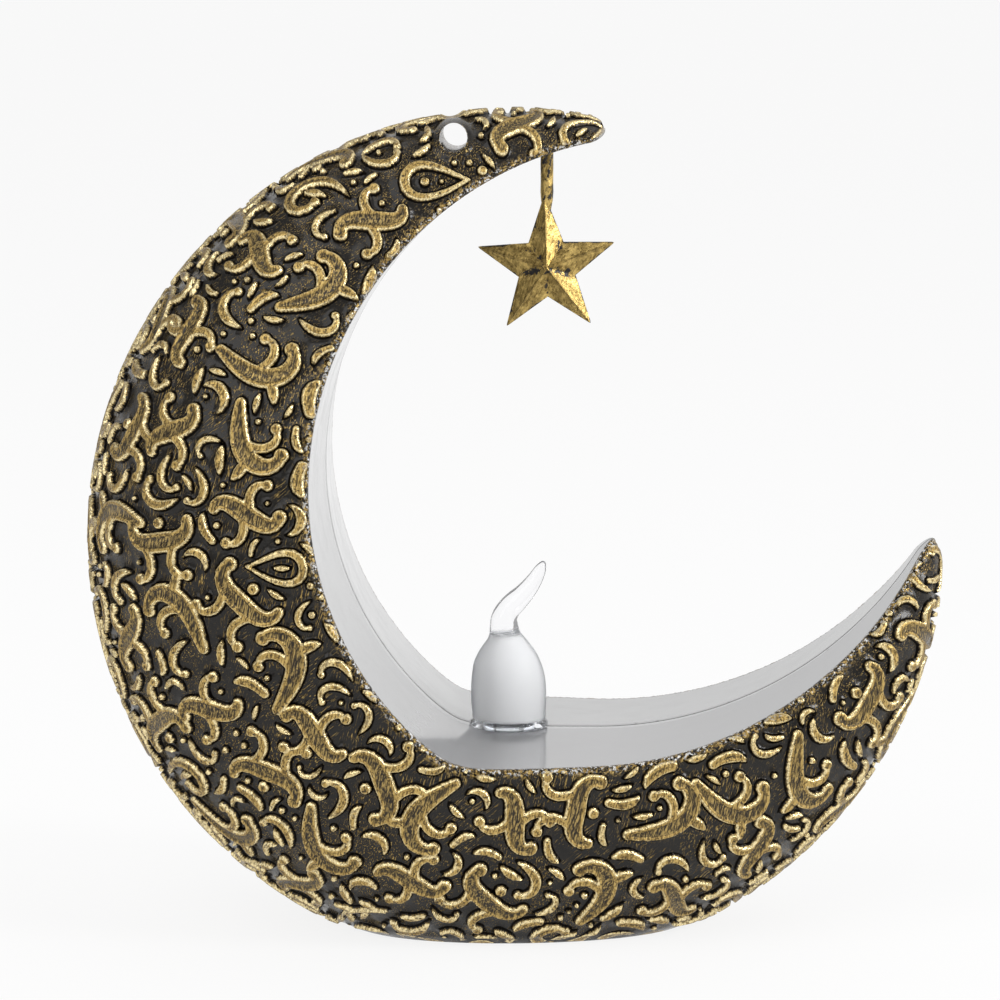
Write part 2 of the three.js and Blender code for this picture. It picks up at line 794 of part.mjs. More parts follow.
function lampBoard() {
  const boardY = wellY + wellHalfWidth + wellWall - boardWidth / 2;
  let board = box(0, boardY, boardHeight, boardLength, boardWidth, boardThickness);
  const hole = 2 * boardHoleClearance;
  for (const side of [-1, 1]) {
    board = board.subtract(box(leadSide(side), 0, boardHeight - 1, leadWidth + hole, leadWidth + hole,
      boardThickness + 2));
    board = board.subtract(box(side * (wellHalfLength - contactThickness / 2), wellY, boardHeight - 1,
      contactThickness + hole, contactTailWidth + hole, boardThickness + 2));
  }
  return board;
}

function contactStrip(side) {
  const foot = coverTop + 0.5;
  const x = side * (wellHalfLength - contactThickness / 2);
  const strip = box(x, wellY, foot, contactThickness, contactWidth, wellHeight - 0.3 - foot);
  const tail = box(x, wellY, foot, contactThickness, contactTailWidth,
    boardHeight + boardThickness + 0.8 - foot);
  const near = Math.min(side * contactFace, side * (contactFace - contactBump));
  const bump = crossCylinder(near, near + contactBump, wellY, cellAxisHeight, 1.6, 14);
  return join(strip, tail, bump);
}

function buttonCell(index) {
  const geometry = new THREE.LatheGeometry([
    [0, 0],
    [cellRadius, 0],
    [cellRadius, cellLength - cellCapHeight],
    [cellCapRadius, cellLength - cellCapHeight],
    [cellCapRadius, cellLength],
    [0, cellLength],
  ].map(([r, h]) => new THREE.Vector2(r, h)), 24);
  geometry.rotateZ(Math.PI / 2);
  const right = stackLength / 2 - index * (cellLength + cellGap);
  geometry.translate(right, wellY, cellAxisHeight);
  return toSolid(geometry);
}

// Hinge axis of the battery door, on the side of the well away from the switch
const hingeY = wellY - wellHalfWidth + doorClearance + hingeBarRadius;
const hingeHeight = coverInset + hingeBarRadius;
const knobSlotLength = knobLength + switchTravel + 2 * switchClearance;
const switchFoot = coverTop;
const knobRestX = switchX - switchTravel / 2;

function bottomCover() {
  const plate = ovalPlate(coverInset, coverHalfLength, coverHalfWidth, coverThickness);
  const outerLength = 2 * (wellHalfLength + wellWall);
  const outerWidth = 2 * (wellHalfWidth + wellWall);
  const well = box(0, wellY, coverInset, outerLength, outerWidth, wellHeight + wellWall - coverInset);
  const wellRoom = box(0, wellY, -1, 2 * wellHalfLength, 2 * wellHalfWidth, wellHeight + 1);
  const blockLength = switchLength + 2 * (switchClearance + wellWall);
  const blockWidth = switchWidth + 2 * switchClearance + wellWall;
  const blockY = switchY + wellWall / 2;
  const switchBlock = box(switchX, blockY, coverInset, blockLength, blockWidth, coverTop + 2 - coverInset);
  const switchRoom = box(switchX, switchY, switchFoot, switchLength + 2 * switchClearance,
    switchWidth + 2 * switchClearance, 5);
  const knobSlot = box(switchX, switchY, -1, knobSlotLength, knobWidth + 2 * switchClearance, 5);
  const tailSlots = [-1, 1].map((side) => box(
    side * (wellHalfLength - contactThickness / 2), wellY, wellHeight - 1,
    contactThickness + 2 * boardHoleClearance, contactTailWidth + 2 * boardHoleClearance, wellWall + 2,
  ));
  const trunnionHoles = crossCylinder(
    -wellHalfLength - trunnionLength, wellHalfLength + trunnionLength, hingeY, hingeHeight,
    trunnionRadius + trunnionClearance,
  );
  const headRoom = 1 + coverInset + screwHeadThickness;
  const screwHoles = screwPlaces.map(([x, y]) => join(
    uprightCylinder(x, y, -1, screwShankRadius + screwHoleClearance, 2 + coverTop, 14),
    uprightCylinder(x, y, -1, screwHeadRadius + screwHoleClearance, headRoom, 18),
  ));
  const ribFoot = wellHeight + wellWall - 0.5;
  const ribs = [-1, 1].map((side) => box(side * boardRibX, wellY, ribFoot, boardRibWidth,
    2 * wellHalfWidth - 2, boardRibHeight + 0.5));
  const solid = join(plate, well, switchBlock, ...ribs);
  return solid.subtract(join(wellRoom, switchRoom, knobSlot, trunnionHoles, ...tailSlots, ...screwHoles));
}

function batteryDoor() {
  const halfLength = wellHalfLength - doorClearance;
  const far = wellY + wellHalfWidth - doorClearance;
  const plate = box(0, (hingeY + far) / 2, coverInset, 2 * halfLength, far - hingeY, doorThickness);
  const bar = crossCylinder(-halfLength, halfLength, hingeY, hingeHeight, hingeBarRadius);
  const reach = halfLength + doorClearance + trunnionLength - trunnionClearance;
  const trunnions = crossCylinder(-reach, reach, hingeY, hingeHeight, trunnionRadius);
  const grip = box(0, far - gripEdge - gripWidth / 2, coverInset - 1, gripLength, gripWidth, 1 + gripDepth);
  return join(plate, bar, trunnions).subtract(grip);
}

function coverScrew([x, y]) {
  const shankLength = coverTop - coverInset + screwShankLength - 1;
  const shank = uprightCylinder(x, y, coverInset, screwShankRadius, shankLength, 12);
  const head = uprightCylinder(x, y, coverInset, screwHeadRadius, screwHeadThickness - 0.1, 16);
  const slot = box(x, y, coverInset - 1, 2 * screwHeadRadius, 0.5, 1.5);
  return join(shank, head).subtract(slot);
}

function switchBody() {
  const foot = switchFoot + 0.1;
  const can = box(switchX, switchY, foot, switchLength, switchWidth, switchBodyHeight);
  const room = box(switchX, switchY, foot - 1, sliderLength + switchTravel + 2 * switchClearance,
    sliderWidth + 2 * switchClearance, 1 + sliderThickness + switchClearance + 0.3);
  const pins = [-1, 0, 1].map((side) => box(switchX + side * switchPinSpacing, switchY,
    foot + switchBodyHeight - 0.5, switchPinWidth, 0.3, switchPinLength + 0.5));
  return join(can.subtract(room), ...pins);
}

function switchSlider() {
  const base = switchFoot + 0.25;
  const carrier = box(knobRestX, switchY, base, sliderLength, sliderWidth, sliderThickness);
  const foot = coverInset + knobRecess;
  const knob = box(knobRestX, switchY, foot, knobLength, knobWidth, base + 0.2 - foot);
  return join(carrier, knob);
}

// Short wire from a switch pin up and over to the edge of the board
function switchWire(side) {
  const pinX = switchX + side * switchPinSpacing;
  const pinTop = switchFoot + 0.1 + switchBodyHeight + switchPinLength;
  const boardEdge = wellY + wellHalfWidth + wellWall;
  const path = new THREE.CatmullRomCurve3([
    new THREE.Vector3(pinX, switchY, pinTop + 0.1),
    new THREE.Vector3(pinX, switchY + 0.3, pinTop + 3),
    new THREE.Vector3(pinX + side, switchY - 0.4, boardHeight + boardThickness + 1.5),
    new THREE.Vector3(pinX + side * 1.6, boardEdge - 0.6, boardHeight + boardThickness + 2.6),
    new THREE.Vector3(pinX + side * 1.8, boardEdge - 1.8, boardHeight + boardThickness + 0.15),
  ]);
  const round = new THREE.Shape();
  round.absarc(0, 0, wireRadius, 0, 2 * Math.PI);
  const geometry = new THREE.ExtrudeGeometry(round, { steps: 14, curveSegments: 4, extrudePath: path });
  return toSolid(geometry);
}

function boardPart(x, y, length, width, height) {
  return box(x, y, boardHeight + boardThickness + solderGap, length, width, height);
}

// Finishes

const relief = { color: 0x5c4a2a, roughness: 0.4, metalness: 0.5 };
const gold = { color: 0xb48a3c, roughness: 0.4, metalness: 0.8 };
const frosted = { color: 0xe4e8ee, roughness: 0.6, metalness: 0 };
const clearEpoxy = { color: 0xf2f0e2, roughness: 0.15, metalness: 0 };
const tinned = { color: 0xc4c6c8, roughness: 0.3, metalness: 1 };
const boardGreen = { color: 0x2c6b3c, roughness: 0.5, metalness: 0 };
const blackPlastic = { color: 0x1c1c1e, roughness: 0.5, metalness: 0 };
const zincSteel = { color: 0xa8abae, roughness: 0.35, metalness: 1 };
const wireRed = { color: 0xa02020, roughness: 0.5, metalness: 0 };
const wireBlack = { color: 0x202020, roughness: 0.5, metalness: 0 };

const lantern = new THREE.Group();

function addPiece(name, solid, finish) {
  const mesh = new THREE.Mesh(toGeometry(solid), new THREE.MeshStandardMaterial(finish));
  mesh.name = name;
  lantern.add(mesh);
}

addPiece('front_shell', shell(-1), relief);
addPiece('rear_shell', shell(1), relief);
addPiece('star_pendant', starPendant(), gold);
addPiece('flame_cover', flameCover(), frosted);
addPiece('led_lens', ledLens(), clearEpoxy);
addPiece('led_anode_lead', ledLead(1), tinned);
addPiece('led_cathode_lead', ledLead(-1), tinned);
addPiece('lamp_board', lampBoard(), boardGreen);
addPiece('flicker_chip', boardPart(chipX, chipY, chipLength, chipWidth, chipHeight), blackPlastic);
addPiece('resistor', boardPart(resistorX, resistorY, resistorLength, resistorWidth, resistorHeight),
  blackPlastic);
addPiece('bottom_cover', bottomCover(), blackPlastic);
addPiece('battery_door', batteryDoor(), blackPlastic);
for (let index = 0; index < cellCount; index += 1) {
  addPiece(`button_cell_${index + 1}`, buttonCell(index), zincSteel);
}
addPiece('positive_contact', contactStrip(-1), tinned);
addPiece('negative_contact', contactStrip(1), tinned);
addPiece('switch_body', switchBody(), tinned);
addPiece('switch_slider', switchSlider(), blackPlastic);
addPiece('switch_wire_1', switchWire(-1), wireRed);
addPiece('switch_wire_2', switchWire(1), wireBlack);
screwPlaces.forEach((place, index) => addPiece(`cover_screw_${index + 1}`, coverScrew(place), zincSteel));

export default lantern;
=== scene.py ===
import math

import bmesh
import bpy
import numpy as np
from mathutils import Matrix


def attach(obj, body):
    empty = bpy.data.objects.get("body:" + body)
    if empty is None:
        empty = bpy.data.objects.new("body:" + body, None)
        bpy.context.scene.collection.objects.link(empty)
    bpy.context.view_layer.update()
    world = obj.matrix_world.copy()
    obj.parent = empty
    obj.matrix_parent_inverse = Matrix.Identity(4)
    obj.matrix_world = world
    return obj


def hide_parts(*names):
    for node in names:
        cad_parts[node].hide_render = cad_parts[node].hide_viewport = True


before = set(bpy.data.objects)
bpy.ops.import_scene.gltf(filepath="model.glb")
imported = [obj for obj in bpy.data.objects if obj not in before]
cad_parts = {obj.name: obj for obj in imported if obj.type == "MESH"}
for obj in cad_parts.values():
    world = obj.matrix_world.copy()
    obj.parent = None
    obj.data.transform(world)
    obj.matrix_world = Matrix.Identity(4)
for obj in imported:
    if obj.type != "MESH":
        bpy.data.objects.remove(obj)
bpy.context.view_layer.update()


# Shape of the crescent. The lantern is a hollow crescent moon of moulded plastic that stands on a
# flat base. Each of its sections is D shaped: a flat inner wall and a round outside, measured out
# from a pole in the moon's opening. Sizes are in millimetres and angles in radians.

mm = 0.001
outer_radius = 70.0
base_cut = 6.2
left_thickness = 38.5
crown_thickness = 4.0
left_arc_radius = 53.8
right_arc_radius = 61.9
right_arc_x = 13.3
floor_height = 32.0
upper_tip_thickness = 3.1
lower_tip_thickness = 2.6
tip_rounding = math.radians(3.4)
greatest_half_depth = 35.5
depth_ways = np.array([0, 0.155, 0.382, 0.593, 0.764, 0.915, 1])
depth_shares = np.array([0.205, 0.493, 0.93, 1, 0.811, 0.423, 0.09])
bulge_power = 2.3
inner_wall_slope = 0.026
edge_rounding = 1.2
seam_y = 0.1

outer_height = outer_radius - base_cut
left_arc_x = left_thickness + left_arc_radius - outer_radius
left_arc_height = 2 * outer_radius - base_cut - crown_thickness - left_arc_radius
pole_x = left_arc_x - 8.3
pole_height = left_arc_height + 8


def circle_reach(angle, x, height, radius):
    along = (pole_x - x) * np.cos(angle) + (pole_height - height) * np.sin(angle)
    aside = (pole_x - x) ** 2 + (pole_height - height) ** 2
    return np.sqrt(along ** 2 + radius ** 2 - aside) - along


def outer_reach(angle):
    return circle_reach(angle, 0, outer_height, outer_radius)


floor_corner_x = left_arc_x - math.sqrt(left_arc_radius ** 2 - (left_arc_height - floor_height) ** 2)
floor_corner = 2 * math.pi + math.atan2(floor_height - pole_height, floor_corner_x - pole_x)
floor_fillet = 1.2


def inner_reach(angle):
    drop = np.maximum(-np.sin(angle), 1e-6)
    to_floor = (pole_height - floor_height) / drop
    floor_x = pole_x + to_floor * np.cos(angle)
    right_side = (angle > 1.5 * math.pi) | ((np.sin(angle) < 0) & (floor_x > right_arc_x))
    left = circle_reach(angle, left_arc_x, left_arc_height, left_arc_radius)
    right = circle_reach(angle, right_arc_x, floor_height + right_arc_radius, right_arc_radius)
    other = np.where(right_side, right, to_floor)
    by_corner = np.clip(1 - np.abs(angle - floor_corner) / 0.3, 0, 1)
    fillet = floor_fillet * np.log1p(np.exp(-np.abs(left - other) / floor_fillet)) * by_corner
    return np.minimum(left, other) - fillet


def tip_angle(start, end, thickness):
    angles = np.linspace(start, end, 4000)
    thin = outer_reach(angles) - inner_reach(angles) <= thickness
    return angles[np.argmax(thin)]


upper_tip = tip_angle(math.pi, 1.2, upper_tip_thickness)
lower_tip = tip_angle(4.9, 6.28, lower_tip_thickness)


def half_depth(angle):
    way = np.clip((angle - upper_tip) / (lower_tip - upper_tip), 0, 1)
    spread = np.pad(depth_ways, 1, mode="edge")
    rise = np.pad(depth_shares, 1, mode="edge")
    slopes = (rise[2:] - rise[:-2]) / (spread[2:] - spread[:-2])
    after = np.clip(np.searchsorted(depth_ways, way), 1, len(depth_ways) - 1)
    before = after - 1
    span = depth_ways[after] - depth_ways[before]
    t = (way - depth_ways[before]) / span
    curve = (2 * t ** 3 - 3 * t ** 2 + 1) * depth_shares[before]
    curve += (t ** 3 - 2 * t ** 2 + t) * span * slopes[before]
    curve += (3 * t ** 2 - 2 * t ** 3) * depth_shares[after]
    curve += (t ** 3 - t ** 2) * span * slopes[after]
    return greatest_half_depth * curve


def section(angle):
    """Reach of the inner seam, of the outer rim and of the wall's edge, and the half depth."""
    left = np.clip(np.minimum(angle - upper_tip, lower_tip - angle) / tip_rounding, 0, 1)
    shrink = np.sqrt(np.maximum(0.02, 1 - (1 - left) ** 2))
    middle = (inner_reach(angle) + outer_reach(angle)) / 2
    half = (outer_reach(angle) - inner_reach(angle)) / 2 * shrink
    depth = half_depth(angle) * shrink
    return middle - half, middle + half, middle - half + depth * inner_wall_slope, depth


def placed(angle, reach, y):
    """Points of one section, from their distances to the pole."""
    reach, y = np.broadcast_arrays(reach, y)
    return np.stack([pole_x + reach * math.cos(angle), y, pole_height + reach * math.sin(angle)], -1)


def outside_line(angle, step, least=6):
    """Points at even steps from the inner wall's edge over the outside to the seam at the rim."""
    inner, outer, edge, depth = section(angle)
    corner = min(edge_rounding, (outer - edge) / 4, depth / 4)
    arc = np.linspace(0, math.pi / 2, 8)[:-1]
    first = math.asin((corner / (outer - edge)) ** (bulge_power / 2))
    turn = np.linspace(first, math.pi / 2, 200)
    across = np.sin(turn) ** (2 / bulge_power)
    bulge = np.maximum(np.cos(turn), 0) ** (2 / bulge_power)
    reach = np.append(edge + corner * (1 - np.cos(arc)), edge + (outer - edge) * across)
    y = np.append(depth - corner + corner * np.sin(arc), depth * bulge)
    y = np.maximum(y, seam_y)
    gone = np.append(0, np.cumsum(np.hypot(np.diff(reach), np.diff(y))))
    count = max(least, round(gone[-1] / step) + 1)
    at = np.linspace(0, gone[-1], count)
    return placed(angle, np.interp(at, gone, reach), np.interp(at, gone, y)), at


def fan_angles(step):
    """Angles of the sections, about one step apart along the outside, one of them on the corner."""
    fine = np.linspace(upper_tip, lower_tip, 3000)
    inner, outer, edge, depth = section(fine)
    reach = edge + (outer - edge) * 0.62
    spot = np.stack([reach * np.cos(fine), reach * np.sin(fine), depth * 0.75], -1)
    gone = np.append(0, np.cumsum(np.linalg.norm(np.diff(spot, axis=0), axis=1)))
    angles = np.interp(np.linspace(0, gone[-1], round(gone[-1] / step) + 1), gone, fine)
    angles[np.argmin(np.abs(angles - floor_corner))] = floor_corner
    return angles


def outside_net(step):
    """Outside of one half, y positive: its lines' points, normals and distances from the edge."""
    angles = fan_angles(step)
    lines = [outside_line(angle, step) for angle in angles]
    points = [line[0] for line in lines]
    ways = [line[1] for line in lines]
    normals = []
    for k in range(len(lines)):
        here = ways[k] / ways[k][-1]
        sides = []
        for other in (max(k - 1, 0), min(k + 1, len(lines) - 1)):
            there = ways[other] / ways[other][-1]
            sides.append(np.stack([np.interp(here, there, points[other][:, axis]) for axis in range(3)], -1))
        normal = np.cross(sides[1] - sides[0], np.gradient(points[k], axis=0))
        normal[-1, 1] = 0
        normals.append(normal / np.linalg.norm(normal, axis=1)[:, None])
    outward = np.sum(normals[len(lines) // 2][-1] * (points[len(lines) // 2][-1] - (pole_x, 0, pole_height)))
    if outward < 0:
        normals = [-normal for normal in normals]
    return angles, points, normals, ways


# Main scrolls. The moulding's outside is covered with low ornament, laid out round bold scrolls that
# stand in columns across the crescent. A stroke here is a list of points with half widths, drawn
# flat and laid on the surface, where it rises with short steep flanks and a nearly level top.

relief_height = 1.0
relief_sunk = 0.2
relief_flank = 0.36
scroll_pitch = 13.6
scroll_room = 14.5
scroll_reach = 6.2
scroll_length = 20
scroll_curl = 0.45
scroll_half_width = 1.75
scroll_end_share = 0.55
scroll_sink = 0.6
scroll_flank = 0.45
scroll_turn = 2.4
scroll_zero = (0.31, 0.17, 0.94)
scroll_sway = 0.13
scroll_sway_turn = 1.7
quarter_line_share = 0.81
scroll_hole_gap = 2
scroll_base_gap = 1.2
scroll_edge_gap = 0.8
scroll_tip_gap = math.radians(6)
scroll_least_room = 11
cord_hole_x = -10.1
cord_hole_radius = 2.25
cord_hole_height = outer_height + math.sqrt(outer_radius ** 2 - cord_hole_x ** 2) - 3.1


def scroll_line(kind, reach, kept_every):
    """Flat line of a scroll, centred and brought to its size: an S, a bowl or a hook."""
    way = (np.arange(48) + 0.5) / 48
    bend = (np.cos(math.pi * way) ** 3, 0.85 * np.cos(math.pi * way) ** 2, -0.8 * way ** 1.5)[kind]
    heading = np.cumsum(scroll_curl * bend) * scroll_length / 48
    spots = np.stack([np.append(0, np.cumsum(np.cos(heading))), np.append(0, np.cumsum(np.sin(heading)))], -1)
    low, high = np.min(spots, axis=0), np.max(spots, axis=0)
    spots = (spots - (low + high) / 2) * (2 * reach - scroll_half_width) / np.max(high - low)
    swell = np.sin(math.pi * np.linspace(0, 1, 49))
    half_width = scroll_half_width * (scroll_end_share + (1 - scroll_end_share) * swell)
    return np.column_stack([spots, half_width])[::kept_every]


def turn_of(points):
    """Angle of the section that each point lies in."""
    angle = 2 * math.pi + np.arctan2(points[..., 2] - pole_height, points[..., 0] - pole_x)
    angle = np.where(angle > lower_tip + math.radians(20), angle - 2 * math.pi, angle)
    return np.clip(angle, upper_tip, lower_tip)


def outsideness(points):
    """0 on the crescent's round outside, and more than 0 beyond it."""
    inner, outer, edge, depth = section(turn_of(points))
    reach = np.hypot(points[..., 0] - pole_x, points[..., 2] - pole_height)
    across = np.maximum(reach - edge, 0) / (outer - edge)
    return across ** bulge_power + (np.abs(points[..., 1]) / depth) ** bulge_power - 1


def outwards(points):
    nudges = 0.05 * np.eye(3)
    slope = np.stack([outsideness(points + nudge) - outsideness(points - nudge) for nudge in nudges], -1)
    return slope / np.linalg.norm(slope, axis=-1, keepdims=True)


def brought_to(points, direction):
    """Moves points along a direction until they lie on the outside."""
    low, high = np.full(len(points), -scroll_reach), np.full(len(points), scroll_reach)
    for halving in range(24):
        middle = (low + high) / 2
        beyond = outsideness(points + middle[:, None] * direction) > 0
        low, high = np.where(beyond, low, middle), np.where(beyond, middle, high)
    return points + low[:, None] * direction


def tangents(normal):
    side = np.cross(normal, scroll_zero)
    side /= np.linalg.norm(side)
    return np.stack([side, np.cross(normal, side)])


def turned_flat(line, angle):
    cos, sin = math.cos(angle), math.sin(angle)
    return np.column_stack([line[:, :2] @ np.array([[cos, sin], [-sin, cos]]), line[:, 2]])


def keeps_clear(centre, normal, line):
    """Whether a scroll's rib stays off the wall's edge, the seam, the base and the cord hole."""
    spots = brought_to(centre + line[:, :2] @ tangents(normal), normal)
    up = outwards(spots)
    along = np.concatenate([spots[1:2] - spots[:1], spots[2:] - spots[:-2], spots[-1:] - spots[-2:-1]])
    aside = np.cross(up, along)
    aside /= np.linalg.norm(aside, axis=1)[:, None]
    half_width = line[:, 2:]
    corners = [spots - up * scroll_sink + side * aside * half_width for side in (-1, 1)]
    top = relief_height - relief_sunk
    corners += [spots + up * top + side * aside * (half_width - scroll_flank) for side in (-1, 1)]
    corners = np.concatenate(corners)
    from_hole = np.hypot(corners[:, 0] - cord_hole_x, corners[:, 2] - cord_hole_height) - cord_hole_radius
    edge = section(turn_of(corners))[2]
    from_edge = np.hypot(corners[:, 0] - pole_x, corners[:, 2] - pole_height) - edge
    gaps = (from_hole - scroll_hole_gap, from_edge - scroll_edge_gap, corners[:, 2] - scroll_base_gap)
    return min(np.min(gap) for gap in gaps) > 0 and np.min(corners[:, 1]) > 2 * seam_y


def main_scrolls():
    """Centre, normal, flat line and kind of each main scroll on the rear half, by columns."""
    scrolls = []
    number = 0
    angle = upper_tip
    while angle < lower_tip - scroll_tip_gap:
        inner, outer, edge, depth = section(angle)
        across = quarter_line_share * (depth + outer - edge)
        rows = 0 if across < scroll_least_room else math.floor(across / scroll_room + 0.5)
        for row in range(rows):
            turn = math.pi / 2 * (row + 0.5 + scroll_sway * math.sin(scroll_sway_turn * number)) / rows
            reach = edge + (outer - edge) * math.sin(turn) ** (2 / bulge_power)
            centre = placed(angle, reach, depth * math.cos(turn) ** (2 / bulge_power))
            normal = outwards(centre)
            size = scroll_reach * min(1, across / rows / scroll_room)
            kind, turned = number % 3, scroll_turn * number
            if keeps_clear(centre, normal, turned_flat(scroll_line(kind, size, 6), turned)):
                scrolls.append((centre, normal, turned_flat(scroll_line(kind, size, 3), turned), kind))
            number += 1
        angle += scroll_pitch / ((edge + outer) / 2)
    return scrolls


# Fine ornament. Hooked scrolls, leaf sprigs, drops, rosettes and beads are fitted closely between
# the main scrolls, the largest first, until the ground shows only in narrow gaps.

def flow(x, y, heading, length, bend_from, bend_to, wide, start=0.2, end=0.2, steps=12, ease=1.0):
    """Stroke whose curvature runs between two values, per millimetre, and that swells mid way."""
    way = (np.arange(steps) + 0.5) / steps
    bend = bend_from + (bend_to - bend_from) * way ** ease
    turned = heading + np.append(0, np.cumsum(bend)) * length / steps
    middle = (turned[1:] + turned[:-1]) / 2
    xs = x + np.append(0, np.cumsum(np.cos(middle))) * length / steps
    ys = y + np.append(0, np.cumsum(np.sin(middle))) * length / steps
    node = np.linspace(0, 1, steps + 1)
    share = start + (end - start) * node
    return np.stack([xs, ys, wide * (share + (1 - share) * np.sin(math.pi * node) ** 0.8)], -1)


def ball(x, y, wide):
    return np.array([[x, y, wide], [x + 0.02, y, wide]])


def leaf(x, y, heading, length, wide, bend=0.06):
    return flow(x, y, heading, length, bend, bend, wide, 0.12, 0.08, steps=6)


def hooked(x, y, heading, length, turning, wide, start, tightness=0.46):
    """Stroke that curls up and ends in a ball."""
    arm = flow(x, y, heading, length, 0.03 * turning, tightness * turning, wide, start, 0.5, steps=13)
    return [arm, ball(arm[-1, 0], arm[-1, 1], 0.6 + 0.45 * wide)]


def s_scroll():
    leaves = [leaf(0.5, 1.2, 1.0, 4.8, 1.15, -0.12), leaf(-0.5, -1.2, 1.0 + math.pi, 4.8, 1.15, -0.12)]
    return hooked(0, 0, 0, 14, 1, 1.45, 1) + hooked(0, 0, math.pi, 14, 1, 1.45, 1) + leaves


def c_scroll():
    down = -math.pi / 2
    leaves = [leaf(side * 1.2, -1.2, down + side * 0.62, 4.6, 1.15, side * 0.1) for side in (-1, 0, 1)]
    return hooked(0, 0, 0, 13, 1, 1.4, 1) + hooked(0, 0, math.pi, 13, -1, 1.4, 1) + leaves


def great_hook():
    return hooked(-6, -5, 1.2, 25, -0.8, 1.75, 0.12, 0.5) + [leaf(-1.6, -3.4, 0.9, 5.6, 1.25, -0.1)]


def sprig():
    stem = flow(-7.5, -1.5, 0.5, 15, -0.02, -0.14, 0.95, 0.5, 0.5)
    strokes = [stem, leaf(stem[-1, 0], stem[-1, 1], -0.7, 4.6, 1.3)]
    for index, side in ((2, 1), (4, -1), (7, 1), (9, -1)):
        x, y = stem[index, :2]
        along = math.atan2(*(stem[index + 1, 1::-1] - stem[index, 1::-1]))
        strokes.append(leaf(x, y, along + side * 1.0, 4.9, 1.25, -side * 0.1))
    return strokes


def drop_outline():
    turn = np.linspace(0, 2 * math.pi, 22)
    x = 5.6 * np.cos(turn)
    y = 4.4 * np.sin(turn) * np.sin(turn / 2) ** 1.4 + 2.4 * ((x + 5.6) / 11.2) ** 2.2
    return np.stack([x, y, 0.5 + 0.75 * np.sin(turn / 2) ** 2], -1)


def drop():
    return [drop_outline(), leaf(-3.2, 0, 0.1, 3.8, 0.85, 0.08)]


def beaded_drop():
    return [drop_outline(), ball(-2.0, 0.1, 1.1), ball(7.6, 4.6, 1.15)]


def rosette():
    petals = [(k * math.pi / 3, 2.6) for k in range(6)]
    return [ball(0, 0, 1.3)] + [leaf(r * math.cos(a), r * math.sin(a), a, 3.6, 1.25, 0.05) for a, r in petals]


def ringed_bead():
    turn = np.linspace(0, 2 * math.pi, 17)
    return [np.stack([3.1 * np.cos(turn), 3.1 * np.sin(turn), np.full(17, 0.85)], -1), ball(0, 0, 1.0)]


def palmette():
    strokes = [leaf(0, 0.4, math.pi / 2, 6.6, 1.4, 0)]
    for side in (-1, 1):
        strokes.append(leaf(side * 1.0, 0, math.pi / 2 - side * 0.7, 6.0, 1.2, -side * 0.12))
        strokes.append(leaf(side * 1.4, -1.0, math.pi / 2 - side * 1.45, 5.4, 1.1, -side * 0.2))
        strokes += hooked(0, -2.6, math.pi / 2 - side * 1.9, 8, side, 1.1, 0.8, 0.7)
    return strokes


def paired_hooks():
    return hooked(0, -3.5, 0.5, 11, 1, 1.3, 0.3, 0.5) + hooked(0, -3.5, math.pi - 0.5, 11, -1, 1.3, 0.3, 0.5)


def trefoil():
    return [leaf(0.7 * math.cos(a), 0.7 * math.sin(a), a, 4.6, 1.4, 0.08) for a in (0.2, 2.3, 4.4)]


def small_hook():
    return hooked(-3, -1.5, 0.6, 11.5, -0.9, 1.35, 0.2, 0.55)


def comma():
    return [flow(-3, 0, 0.6, 7, -0.05, -0.35, 1.45, 0.85, 0.08, steps=7)]


def new_moon():
    return [flow(-3, -1.8, 1.35, 9.2, -0.33, -0.33, 1.35, 0.1, 0.1, steps=8)]


def single_leaf():
    return [leaf(-3.2, 0, 0, 6.4, 1.35, 0.1)]


def bead():
    return [ball(0, 0, 1.15)]


def branches(line, kind):
    """Tendrils, a leaf and balls that grow from a main scroll."""
    def heading(index, aside):
        along = line[index + 1, :2] - line[index - 1, :2]
        return math.atan2(along[1], along[0]) + aside

    def tendril(index, aside, turning, length):
        return hooked(*line[index, :2], heading(index, aside), length, turning, 0.85, 0.9, 0.62)

    tip = [ball(*(line[-1] * (1, 1, 1.3)))]
    if kind == 0:
        return tip + tendril(6, 0.55, 1, 7.6) + tendril(10, math.pi + 0.55, 1, 7.6)
    if kind == 1:
        middle = [ball(*(0.42 * line[0, :2] + 0.42 * line[-1, :2]), 1.0)]
        return tip + middle + tendril(4, -0.5, -1, 8.2) + tendril(12, math.pi + 0.5, 1, 8.2)
    return tip + tendril(6, -0.75, -1, 8.5) + [leaf(*line[9, :2], heading(9, 0.9), 4.6, 1.0, 0.16)]


def segments_of(strokes):
    """Starts and ends of all the straight bits of a motif's strokes, each with its half width."""
    starts = np.concatenate([stroke[:-1] for stroke in strokes])
    ends = np.concatenate([stroke[1:] for stroke in strokes])
    return starts, ends


def distance_to(segments, flat):
    """Distance from flat spots to the motif's outline, negative inside it, and the way out."""
    starts, ends = segments
    run = ends - starts
    even = 1 / np.maximum(run[:, 0] ** 2 + run[:, 1] ** 2, 1e-9)
    x = flat[:, :1] - starts[:, 0]
    y = flat[:, 1:] - starts[:, 1]
    share = np.clip((x * run[:, 0] + y * run[:, 1]) * even, 0, 1)
    x -= share * run[:, 0]
    y -= share * run[:, 1]
    span = np.sqrt(x * x + y * y)
    room = span - starts[:, 2] - share * run[:, 2]
    nearest = (np.arange(len(flat)), np.argmin(room, axis=1))
    away = np.stack([x[nearest], y[nearest]], -1) / np.maximum(span[nearest], 1e-6)[:, None]
    return room[nearest], away


def near_points(points, normals, centre, normal, reach):
    """Which points lie close to a spot, on its side of the body, and their offsets from it."""
    offset = points - centre
    close = np.flatnonzero(np.einsum("ij,ij->i", offset, offset) < reach ** 2)
    close = close[normals[close] @ normal > 0.3]
    return close, offset[close]


